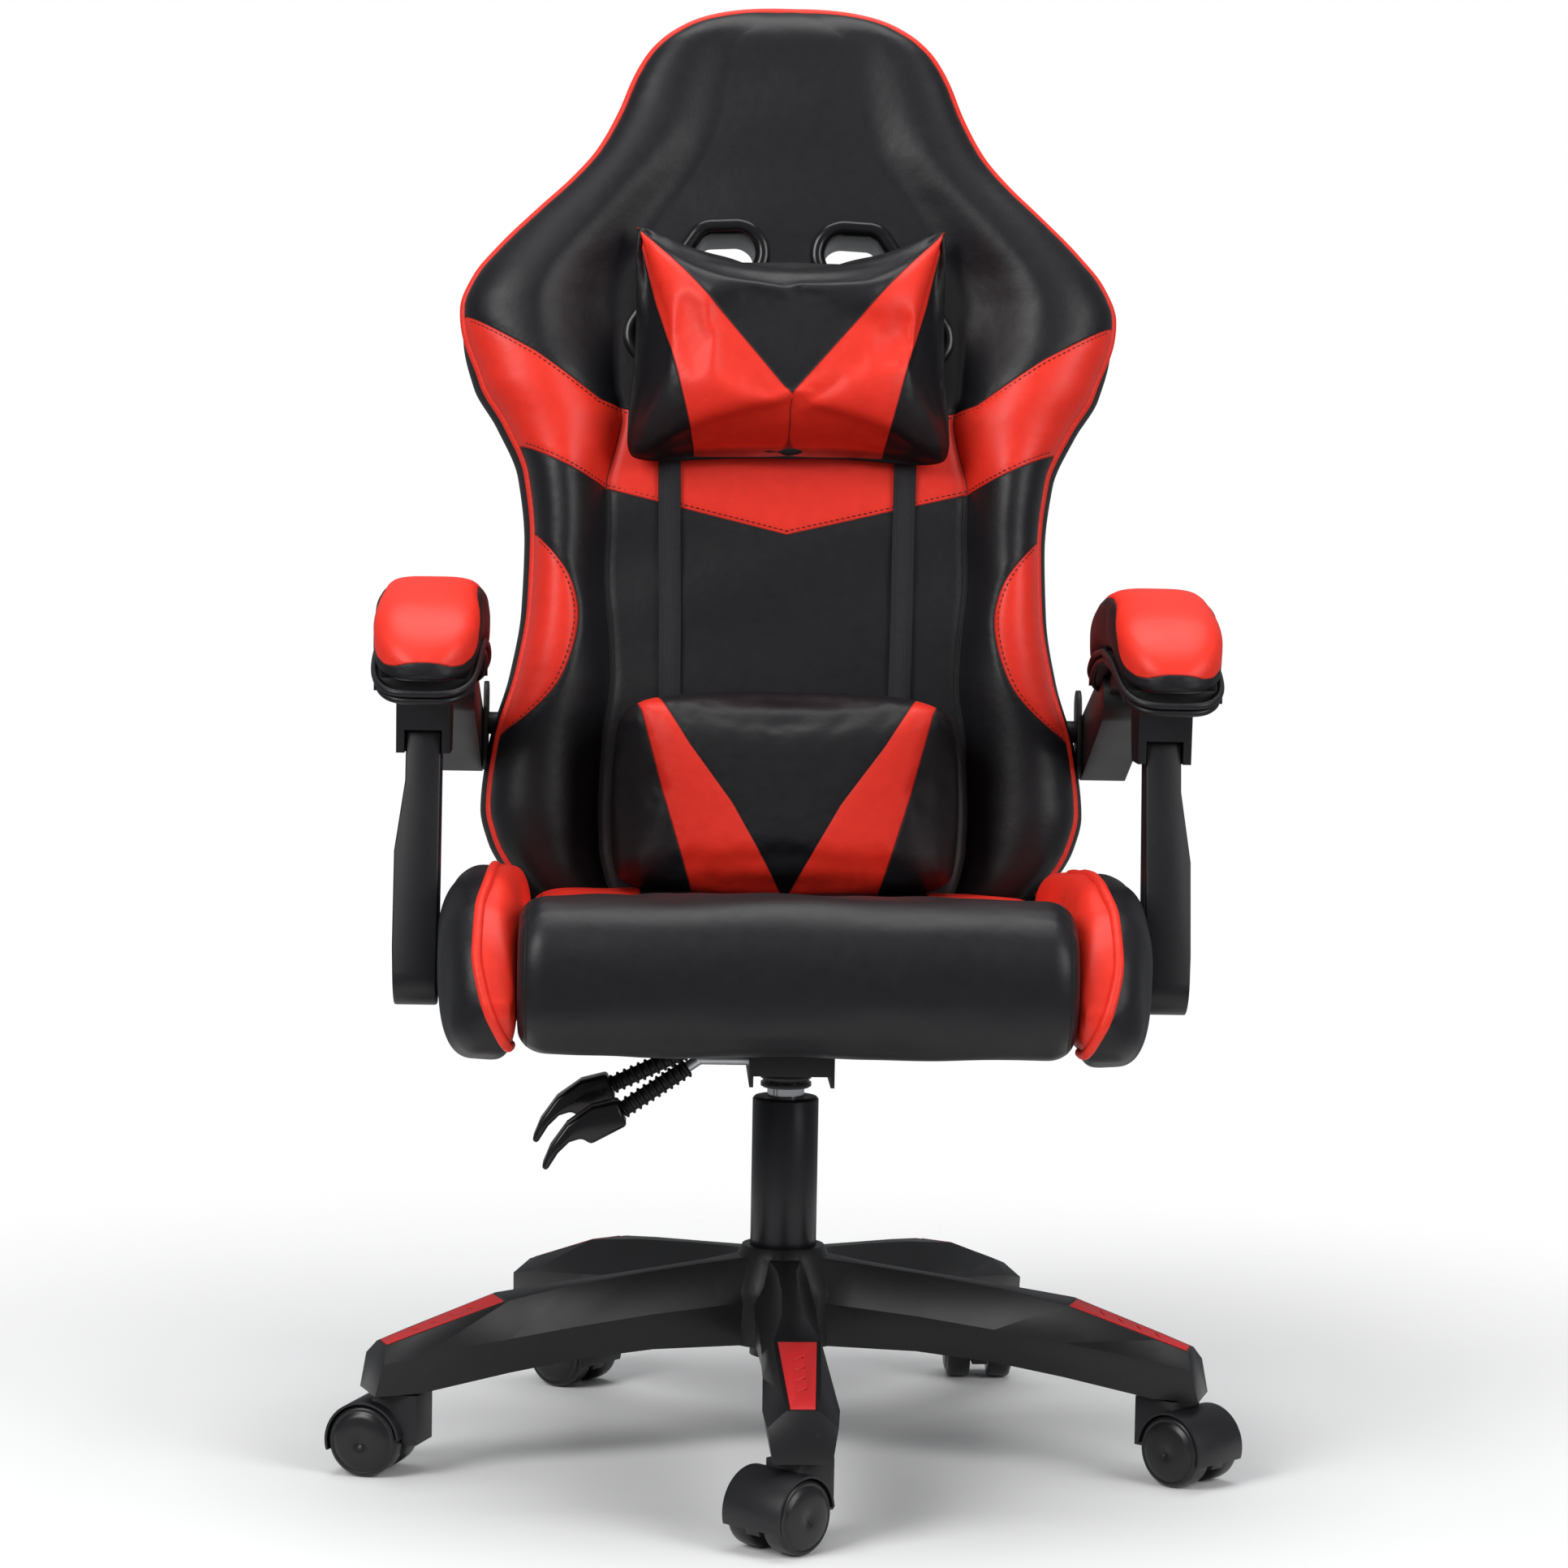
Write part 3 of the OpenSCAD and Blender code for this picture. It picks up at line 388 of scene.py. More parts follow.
FINISHES = {
    "cover": Leather("cover_leather", Tone.BLACK, panels=True),
    "pillow": Leather("pillow_leather", Tone.BLACK, panels=True, crease=17, roughness=0.39),
    "piping": Leather("piping_leather", Tone.RED, roughness=0.42, crease=6),
    "base": Moulded("base_nylon", (0.0075, 0.0075, 0.0085), 0.38, 0.6, 0.05, 0.10),
    "insert": Moulded("insert_red", (0.56, 0.022, 0.024), 0.42, 0.8, 0.05, 0.05),
    "column": Moulded("column_black", (0.007, 0.007, 0.009), 0.33, 0.35, 0.02, 0.06),
    "plastic": Moulded("black_plastic", (0.0075, 0.0075, 0.009), 0.42, 0.55, 0.06, 0.05),
    "gloss": Moulded("gloss_plastic", (0.007, 0.007, 0.008), 0.2, 1.2, 0.02, 0.12),
    "wheel": Moulded("wheel_plastic", (0.0075, 0.0075, 0.0085), 0.3, 0.5, 0.03, 0.12),
    "rubber": Moulded("boot_rubber", (0.007, 0.007, 0.0075), 0.5, 0.4, 0.06, 0.04),
    "powder": Moulded("painted_steel", (0.010, 0.010, 0.011), 0.46, 0.5, 0.08, 0.05),
    "steel": Metal("steel", (0.52, 0.53, 0.55), 0.34),
    "chrome": Metal("chrome", (0.80, 0.81, 0.83), 0.12),
    "strap": Webbing("strap_web", (0.010, 0.010, 0.012)),
    "thread": Moulded("thread", (0.010, 0.010, 0.010), 0.6, 0.3, 0.03, 0.0),
}
"""Each finish's recipe by the name that the pieces ask for."""

"""The record's material slot behind each finish."""


class Paintbox:
    """Makes each finish's material the first time that a piece asks for it."""

    def __init__(self) -> None:
        """Starts with no material made."""
        self.made: dict[str, bpy.types.Material] = {}

    def get(self, finish: str) -> bpy.types.Material:
        """The material of a finish.

        Args:
            finish: The finish's name.

        Returns:
            The material.
        """
        if finish not in self.made:
            self.made[finish] = FINISHES[finish].make()
        return self.made[finish]


PAINT = Paintbox()


# ---- curves and meshes ----

def smooth(x: np.ndarray | float, points: Sequence[tuple[float, float]]) -> np.ndarray:
    """Monotone cubic through points, held level past both ends.

    Args:
        x: Where to read it.
        points: (x, y) pairs in rising x.

    Returns:
        The curve's values.
    """
    px, py = np.array(points, float).T
    step = np.diff(px)
    slope = np.diff(py) / step
    inner = np.where(slope[1:] * slope[:-1] > 0,
                     2 * slope[1:] * slope[:-1] / (slope[1:] + slope[:-1] + 1e-12), 0)
    tangent = np.concatenate([[slope[0]], inner, [slope[-1]]])
    at = np.clip(np.asarray(x, float), px[0], px[-1])
    i = np.clip(np.searchsorted(px, at, side="right") - 1, 0, len(step) - 1)
    t = (at - px[i]) / step[i]
    return ((2 * t**3 - 3 * t**2 + 1) * py[i] + (t**3 - 2 * t**2 + t) * step[i] * tangent[i]
            + (3 * t**2 - 2 * t**3) * py[i + 1] + (t**3 - t**2) * step[i] * tangent[i + 1])


def ease(x: np.ndarray | float, low: float, high: float) -> np.ndarray:
    """Smooth step from 0 at low to 1 at high."""
    t = np.clip((np.asarray(x, float) - low) / (high - low), 0, 1)
    return t * t * (3 - 2 * t)


def inside(points: np.ndarray, outline: Sequence[tuple[float, float]]) -> np.ndarray:
    """Distance of points from a closed outline, positive inside it.

    Args:
        points: Rows of two numbers.
        outline: Corners in order.

    Returns:
        One distance per point.
    """
    corners = np.array(outline, float)
    best = np.full(len(points), np.inf)
    within = np.zeros(len(points), bool)
    for a, b in zip(corners, np.roll(corners, -1, axis=0)):
        edge = b - a
        t = np.clip(((points - a) @ edge) / (edge @ edge), 0, 1)
        best = np.minimum(best, np.linalg.norm(points - a - t[:, None] * edge, axis=1))
        if a[1] != b[1]:
            crosses = (a[1] > points[:, 1]) != (b[1] > points[:, 1])
            at = a[0] + (points[:, 1] - a[1]) / (b[1] - a[1]) * edge[0]
            within ^= crosses & (points[:, 0] < at)
    return np.where(within, best, -best)


def ripple(points: np.ndarray, length: float, seed: int = SEED) -> np.ndarray:
    """Soft repeatable noise from -1 to 1, as a sum of sine waves in fixed directions.

    Args:
        points: Rows of coordinates.
        length: Typical wave length, in the points' unit.
        seed: Chooses the waves.

    Returns:
        One value per point.
    """
    draw = np.random.default_rng(seed)
    total = np.zeros(len(points))
    waves = 9
    for _ in range(waves):
        way = draw.normal(size=points.shape[1])
        way /= np.linalg.norm(way)
        total += np.sin(points @ way * 2 * math.pi / (length * draw.uniform(0.6, 1.7)) + draw.uniform(0, 6.3))
    return total / math.sqrt(waves / 2) / 1.6


def make_mesh(name: str, points: np.ndarray, faces: Sequence[Sequence[int]],
              marks: Mapping[str, np.ndarray] | None = None) -> bpy.types.Object:
    """A smooth-shaded mesh object from points in millimetres.

    Args:
        name: The piece's name.
        points: Rows of x, y, z.
        faces: Corner numbers of each face.
        marks: Numbers to store on the points, by attribute name.

    Returns:
        The object, linked to the scene.
    """
    mesh = bpy.data.meshes.new(name)
    mesh.from_pydata((np.asarray(points) * MM).tolist(), [], [list(map(int, f)) for f in faces])
    mesh.update()
    for key, values in (marks or {}).items():
        mesh.attributes.new(key, "FLOAT", "POINT").data.foreach_set("value", np.asarray(values, np.float32))
    mesh.shade_smooth()
    made = bpy.data.objects.new(name, mesh)
    bpy.context.scene.collection.objects.link(made)
    return made


def face_out(piece: bpy.types.Object, merge: float = 0.0) -> bpy.types.Object:
    """Turns a closed mesh's faces outwards, after merging doubles where asked (in millimetres).

    Args:
        piece: The mesh object.
        merge: How close doubles are, in millimetres; 0 leaves them.

    Returns:
        The piece.
    """
    shape = bmesh.new()
    shape.from_mesh(piece.data)
    if merge:
        bmesh.ops.remove_doubles(shape, verts=shape.verts, dist=merge * MM)
    bmesh.ops.recalc_face_normals(shape, faces=shape.faces)
    shape.to_mesh(piece.data)
    shape.free()
    return piece


def bake_modifiers(piece: bpy.types.Object) -> bpy.types.Object:
    """Replaces a piece's mesh by its evaluated one and clears its modifiers.

    Args:
        piece: The mesh object.

    Returns:
        The piece.
    """
    graph = bpy.context.evaluated_depsgraph_get()
    baked = bpy.data.meshes.new_from_object(piece.evaluated_get(graph), depsgraph=graph)
    piece.modifiers.clear()
    piece.data = baked
    return piece


def loft(name: str, rings: np.ndarray, marks: Mapping[str, np.ndarray] | None = None,
         closed: bool = True, capped: bool = True) -> bpy.types.Object:
    """Skins rings of points.

    Args:
        name: The piece's name.
        rings: Array of rings x points x 3.
        marks: Attributes as arrays of rings x points.
        closed: Whether each ring closes on itself.
        capped: Whether the first and last rings are filled.

    Returns:
        The object.
    """
    count, around = rings.shape[:2]
    index = np.arange(count * around).reshape(count, around)
    wrap = around if closed else around - 1
    faces = [(index[i, j], index[i, (j + 1) % around], index[i + 1, (j + 1) % around], index[i + 1, j])
             for i in range(count - 1) for j in range(wrap)]
    points = rings.reshape(-1, 3)
    flat = {key: values.reshape(-1) for key, values in (marks or {}).items()}
    if capped:
        for end in (0, count - 1):
            middle = len(points)
            points = np.vstack([points, rings[end].mean(axis=0)])
            for key in flat:
                flat[key] = np.append(flat[key], (marks or {})[key][end].mean())
            faces += [(index[end, j], index[end, (j + 1) % around], middle) for j in range(around)]
    made = make_mesh(name, points, faces, flat)
    return face_out(made) if capped else made


def frames_along(path: np.ndarray, up: Sequence[float] = (0, 0, 1)) -> tuple[np.ndarray, np.ndarray]:
    """Two directions square to a path at each of its points, carried along without twist.

    Args:
        path: Rows of x, y, z.
        up: A direction that the first side is square to.

    Returns:
        The two directions, each as rows.
    """
    tangent = np.gradient(path, axis=0)
    tangent /= np.linalg.norm(tangent, axis=1)[:, None]
    side = np.cross(tangent[0], up)
    if np.linalg.norm(side) < 1e-6:
        side = np.cross(tangent[0], (1, 0, 0))
    sides = []
    for way in tangent:
        side = side - way * (side @ way)
        side = side / np.linalg.norm(side)
        sides.append(side)
    sides = np.array(sides)
    return sides, np.cross(tangent, sides)


def tube(name: str, path: np.ndarray, radius: float | np.ndarray, sides: int = 12) -> bpy.types.Object:
    """A round tube along a path in millimetres, closed at both ends.

    Args:
        name: The piece's name.
        path: Rows of x, y, z.
        radius: One radius, or one for each point.
        sides: Points in a ring.

    Returns:
        The object.
    """
    across, over = frames_along(path)
    angle = np.linspace(0, 2 * math.pi, sides, endpoint=False)
    spread = np.broadcast_to(np.asarray(radius, float), (len(path),))[:, None, None]
    rings = path[:, None] + spread * (np.cos(angle)[None, :, None] * across[:, None]
                                      + np.sin(angle)[None, :, None] * over[:, None])
    return loft(name, rings)


def lathe(name: str, profile: Sequence[tuple[float, float]], centre: Sequence[float],
          axis: Sequence[float], around: int = 72) -> bpy.types.Object:
    """Turns a profile of (radius, height) about an axis through a centre, in millimetres.

    Args:
        name: The piece's name.
        profile: (radius, height) pairs.
        centre: Where height 0 lies.
        axis: The way that height rises.
        around: Points in a ring.

    Returns:
        The object.
    """
    turn = Vector((0, 0, 1)).rotation_difference(Vector(axis)).to_matrix()
    angle = np.linspace(0, 2 * math.pi, around, endpoint=False)
    rings = np.array([[(r * math.cos(a), r * math.sin(a), h) for a in angle] for r, h in profile])
    return loft(name, rings @ np.array(turn).T + np.array(centre))


def resample(path: np.ndarray, step: float) -> np.ndarray:
    """Points at even spacing along a path.

    Args:
        path: Rows of coordinates.
        step: The spacing.

    Returns:
        The new rows.
    """
    length = np.concatenate([[0], np.cumsum(np.linalg.norm(np.diff(path, axis=0), axis=1))])
    at = np.linspace(0, length[-1], max(2, int(length[-1] / step) + 1))
    return np.stack([np.interp(at, length, path[:, k]) for k in range(path.shape[1])], axis=1)


def soften(path: np.ndarray, times: int = 2) -> np.ndarray:
    """Rounds the corners of an open path by cutting them.

    Args:
        path: Rows of coordinates.
        times: Rounds of cutting.

    Returns:
        The new rows.
    """
    for _ in range(times):
        a, b = path[:-1], path[1:]
        cut = np.stack([0.75 * a + 0.25 * b, 0.25 * a + 0.75 * b], axis=1).reshape(-1, path.shape[1])
        path = np.vstack([path[:1], cut[1:-1], path[-1:]])
    return path


# ---- fitting pieces to the frame ----

def corners_of(node: str) -> np.ndarray:
    """A CAD node's low and high corners, in millimetres."""
    return np.array(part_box(node)) / MM


def joint_place(name: str) -> np.ndarray:
    """A joint's place, in millimetres."""
    return np.array(JOINTS[name]["pos_m"]) / MM


def refine(piece: bpy.types.Object) -> bpy.types.Object:
    """Subdivides a cover once, which rounds it.

    Args:
        piece: The mesh object.

    Returns:
        The piece.
    """
    finer = piece.modifiers.new("finer", "SUBSURF")
    finer.levels = finer.render_levels = 1
    return bake_modifiers(piece)


def fit(piece: bpy.types.Object, body: str, finish: str, *nodes: str) -> bpy.types.Object:
    """Dresses a piece and ties it to the frame.

    Args:
        piece: The finished piece.
        body: The body that it rides on.
        finish: The finish's name.
        nodes: CAD nodes that it stands for.

    Returns:
        The piece.
    """
    piece.data.materials.clear()
    piece.data.materials.append(PAINT.get(finish))
    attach(piece, body)
    if nodes:
        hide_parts(*nodes)
    LOG.info("%s rides on %s in %s", piece.name, body, finish)
    return piece


def body_of(node: str) -> str:
    """The body that a CAD node belongs to."""
    return next(b for b, nodes in frame["record"]["behaviour"]["bodies"].items() if node in nodes)


def eased(node: str, finish: str, radius: float = 0.8, angle: float = 32.0) -> bpy.types.Object:
    """A copy of a CAD node with its edges rounded, standing for the node.

    Args:
        node: The CAD node.
        finish: The finish's name.
        radius: The rounding, in millimetres.
        angle: Edges sharper than this many degrees are rounded.

    Returns:
        The piece.
    """
    mesh = frame["nodes"][node].data.copy()
    piece = bpy.data.objects.new(node + "_shell", mesh)
    bpy.context.scene.collection.objects.link(piece)
    shape = bmesh.new()
    shape.from_mesh(mesh)
    bmesh.ops.remove_doubles(shape, verts=shape.verts, dist=1e-5)
    bmesh.ops.dissolve_limit(shape, angle_limit=math.radians(1.0), verts=shape.verts, edges=shape.edges)
    shape.to_mesh(mesh)
    shape.free()
    mesh.shade_smooth()
    if radius:
        bevel = piece.modifiers.new("ease", "BEVEL")
        bevel.width = radius * MM
        bevel.segments = 2
        bevel.limit_method = "ANGLE"
        bevel.angle_limit = math.radians(angle)
        bevel.use_clamp_overlap = True
        bevel.harden_normals = False
    bake_modifiers(piece)
    piece.data.set_sharp_from_angle(angle=math.radians(angle + 8))
    return fit(piece, body_of(node), finish, node)


def paint_node(node: str, finish: str) -> None:
    """Gives a CAD node that stays its finish.

    Args:
        node: The CAD node.
        finish: The finish's name.
    """
    materials = frame["nodes"][node].data.materials
    materials.clear()
    materials.append(PAINT.get(finish))


# ---- geometry nodes ----

class Pattern:
    """A geometry node tree that repeats one small bead along a path."""

    def __init__(self, name: str, **sizes: float) -> None:
        """Starts a tree with named number inputs.

        Args:
            name: The tree's name.
            sizes: Each input's value, in millimetres or as a plain count.
        """
        self.tree = bpy.data.node_groups.new(name, "GeometryNodeTree")
        face = self.tree.interface
        face.new_socket("Geometry", in_out="INPUT", socket_type="NodeSocketGeometry")
        face.new_socket("Geometry", in_out="OUTPUT", socket_type="NodeSocketGeometry")
        self.sizes = sizes
        self.identifiers = {}
        for key in sizes:
            made = face.new_socket(key, in_out="INPUT", socket_type="NodeSocketFloat")
            self.identifiers[key] = made.identifier
        self.start = self.tree.nodes.new("NodeGroupInput")
        self.end = self.tree.nodes.new("NodeGroupOutput")

    def node(self, kind: str, settings: Mapping | None = None, **links: object) -> bpy.types.Node:
        """Adds a node.

        Args:
            kind: The node's type.
            settings: Properties set before its inputs.
            links: Sockets or values by input name, with _ for a space.

        Returns:
            The node.
        """
        made = self.tree.nodes.new(kind)
        for key, setting in (settings or {}).items():
            setattr(made, key, setting)
        for key, given in links.items():
            socket = made.inputs[key.replace("_", " ")]
            if isinstance(given, bpy.types.NodeSocket):
                self.tree.links.new(given, socket)
            else:
                socket.default_value = given
        return made

    def size(self, key: str) -> bpy.types.NodeSocket:
        """The socket of a named input."""
        return self.start.outputs[key]

    def repeat(self, bead: bpy.types.Node, stretch: bpy.types.NodeSocket, finish: str) -> None:
        """Ends the tree: a bead at each pitch of the path, stretched along it, made real, in a finish.

        Args:
            bead: The node that makes the bead.
            stretch: The bead's scale along the path.
            finish: The bead's finish.
        """
        curve = self.node("GeometryNodeMeshToCurve", Mesh=self.start.outputs[0])
        spaced = self.node("GeometryNodeResampleCurve", {"mode": "LENGTH"},
                           Curve=curve.outputs[0], Length=self.size("Pitch"))
        along = self.node("GeometryNodeInputTangent")
        turn = self.node("FunctionNodeAlignRotationToVector", {"axis": "Z"}, Vector=along.outputs[0])
        scale = self.node("ShaderNodeCombineXYZ", X=1.0, Y=1.0, Z=stretch)
        long = self.node("GeometryNodeTransform", Geometry=bead.outputs[0], Scale=scale.outputs[0])
        placed = self.node("GeometryNodeInstanceOnPoints", Points=spaced.outputs[0],
                           Instance=long.outputs[0], Rotation=turn.outputs[0])
        real = self.node("GeometryNodeRealizeInstances", Geometry=placed.outputs[0])
        dressed = self.node("GeometryNodeSetMaterial", Geometry=real.outputs[0], Material=PAINT.get(finish))
        self.tree.links.new(dressed.outputs[0], self.end.inputs[0])

    def grow(self, name: str, paths: Sequence[np.ndarray]) -> bpy.types.Object:
        """Runs the tree on paths in millimetres and returns a plain mesh object.

        Args:
            name: The piece's name.
            paths: Point rows, each one run of edges.

        Returns:
            The object.
        """
        points = np.vstack(paths) * MM
        edges = []
        at = 0
        for path in paths:
            edges += [(at + i, at + i + 1) for i in range(len(path) - 1)]
            at += len(path)
        mesh = bpy.data.meshes.new(name)
        mesh.from_pydata(points.tolist(), edges, [])
        made = bpy.data.objects.new(name, mesh)
        bpy.context.scene.collection.objects.link(made)
        modifier = made.modifiers.new("pattern", "NODES")
        modifier.node_group = self.tree
        for key, value in self.sizes.items():
            modifier[self.identifiers[key]] = float(value) * (1 if key.startswith("Number") else MM)
        bake_modifiers(made)
        made.data.shade_smooth()
        return made


def stitch_run(name: str, body: str, paths: Sequence[np.ndarray], finish: str = "thread",
               pitch: float = 4.6, length: float = 3.1, thick: float = 0.42) -> bpy.types.Object:
    """Rows of stitches along paths.

    Args:
        name: The piece's name.
        body: The body that they ride on.
        paths: Point rows in millimetres.
        finish: The thread's finish.
        pitch: Distance from stitch to stitch.
        length: Length of one stitch.
        thick: Radius of the thread.

    Returns:
        The piece.
    """
    pattern = Pattern(name + "_pattern", Pitch=pitch, Length=length, Thickness=thick)
    thread = pattern.node("GeometryNodeMeshUVSphere", Segments=6, Rings=5, Radius=pattern.size("Thickness"))
    ratio = pattern.node("ShaderNodeMath", {"operation": "DIVIDE"})
    pattern.tree.links.new(pattern.size("Length"), ratio.inputs[0])
    pattern.tree.links.new(pattern.size("Thickness"), ratio.inputs[1])
    half = pattern.node("ShaderNodeMath", {"operation": "MULTIPLY"})
    pattern.tree.links.new(ratio.outputs[0], half.inputs[0])
    half.inputs[1].default_value = 0.5
    pattern.repeat(thread, half.outputs[0], finish)
    return fit(pattern.grow(name, paths), body, finish)


def ring_run(name: str, path: np.ndarray, pitch: float, radius: float, width: float,
             finish: str) -> bpy.types.Object:
    """Flattened beads along a path that read as a corrugated sleeve.

    Args:
        name: The piece's name.
        path: Points in millimetres.
        pitch: Distance from rib to rib.
        radius: Outer radius of a rib.
        width: Thickness of a rib.
        finish: The sleeve's finish.

    Returns:
        The object, not yet tied to the frame.
    """
    pattern = Pattern(name + "_pattern", Pitch=pitch, Radius=radius, Number_flatness=width / 2 / radius)
    bead = pattern.node("GeometryNodeMeshUVSphere", Segments=28, Rings=12, Radius=pattern.size("Radius"))
    pattern.repeat(bead, pattern.size("Number_flatness"), finish)
    return pattern.grow(name, [path])


# ---- padded shapes ----

def swell(piece: bpy.types.Object, pressure: float, cap: float, frames: int = 18,
          stiff: float = 15.0, bend: float = 0.6) -> bpy.types.Object:
    """Fills a closed cover: cloth under pressure, with each point's travel capped.

    Args:
        piece: The closed mesh.
        pressure: Pressure inside.
        cap: The most that a point moves, in millimetres.
        frames: Steps of the fill.
        stiff: Stretch stiffness of the cover.
        bend: Bending stiffness of the cover.

    Returns:
        The piece.
    """
    rest = np.array([v.co for v in piece.data.vertices])
    cloth = piece.modifiers.new("fill", "CLOTH")
    cloth.settings.quality = 6
    cloth.settings.use_pressure = True
    cloth.settings.uniform_pressure_force = pressure
    cloth.settings.tension_stiffness = stiff
    cloth.settings.compression_stiffness = stiff
    cloth.settings.bending_stiffness = bend
    cloth.settings.effector_weights.gravity = 0
    cloth.collision_settings.use_collision = False
    cloth.collision_settings.use_self_collision = False
    cloth.point_cache.frame_end = frames
    scene = bpy.context.scene
    for step in range(1, frames + 1):
        scene.frame_set(step)
    graph = bpy.context.evaluated_depsgraph_get()
    filled = np.array([v.co for v in piece.evaluated_get(graph).data.vertices])
    piece.modifiers.clear()
    scene.frame_set(1)
    move = filled - rest
    reach = np.linalg.norm(move, axis=1)[:, None]
    limit = cap * MM
    move *= np.tanh(reach / limit) * limit / np.maximum(reach, 1e-9)
    piece.data.vertices.foreach_set("co", (rest + move).ravel())
    piece.data.update()
    return piece


def points_of(piece: bpy.types.Object) -> np.ndarray:
    """A mesh's points in millimetres."""
    return np.array([v.co for v in piece.data.vertices]) / MM


def store(piece: bpy.types.Object, points: np.ndarray) -> None:
    """Puts points in millimetres back into a mesh."""
    piece.data.vertices.foreach_set("co", (np.asarray(points) * MM).ravel())
    piece.data.update()


def mark(piece: bpy.types.Object, name: str, values: np.ndarray) -> None:
    """Stores one number on each point of a mesh."""
    layer = piece.data.attributes.get(name) or piece.data.attributes.new(name, "FLOAT", "POINT")
    layer.data.foreach_set("value", np.asarray(values, np.float32))


# ---- the board that the back is built on ----

@dataclass
class Board:
    """Turns board coordinates into places in the frame, both in millimetres."""

    hinge: np.ndarray = field(default_factory=lambda: joint_place("recline"))
    link: np.ndarray = field(default_factory=lambda: (
        np.array(JOINTS["arm_left_pivot"]["pos_m"]) - np.array(JOINTS["recline"]["pos_m"])) / MM)

    @property
    def lean(self) -> float:
        """The back's lean at rest, in radians."""
        return math.atan2(self.link[1], self.link[2])

    def place(self, points: np.ndarray) -> np.ndarray:
        """Board points (x, y, s) as frame points.

        Args:
            points: Board points, with the coordinates last.

        Returns:
            The frame points.
        """
        x, y, s = np.moveaxis(np.asarray(points, float), -1, 0)
        c, n = math.cos(self.lean), math.sin(self.lean)
        return np.stack([x, self.hinge[1] + s * n + y * c, self.hinge[2] + s * c - y * n], axis=-1)

    def read(self, points: np.ndarray) -> np.ndarray:
        """Frame points as board points (x, y, s).

        Args:
            points: Frame points, with the coordinates last.

        Returns:
            The board points.
        """
        x, y, z = np.moveaxis(np.asarray(points, float), -1, 0)
        y, z = y - self.hinge[1], z - self.hinge[2]
        c, n = math.cos(self.lean), math.sin(self.lean)
        return np.stack([x, y * c - z * n, y * n + z * c], axis=-1)


BOARD = Board()


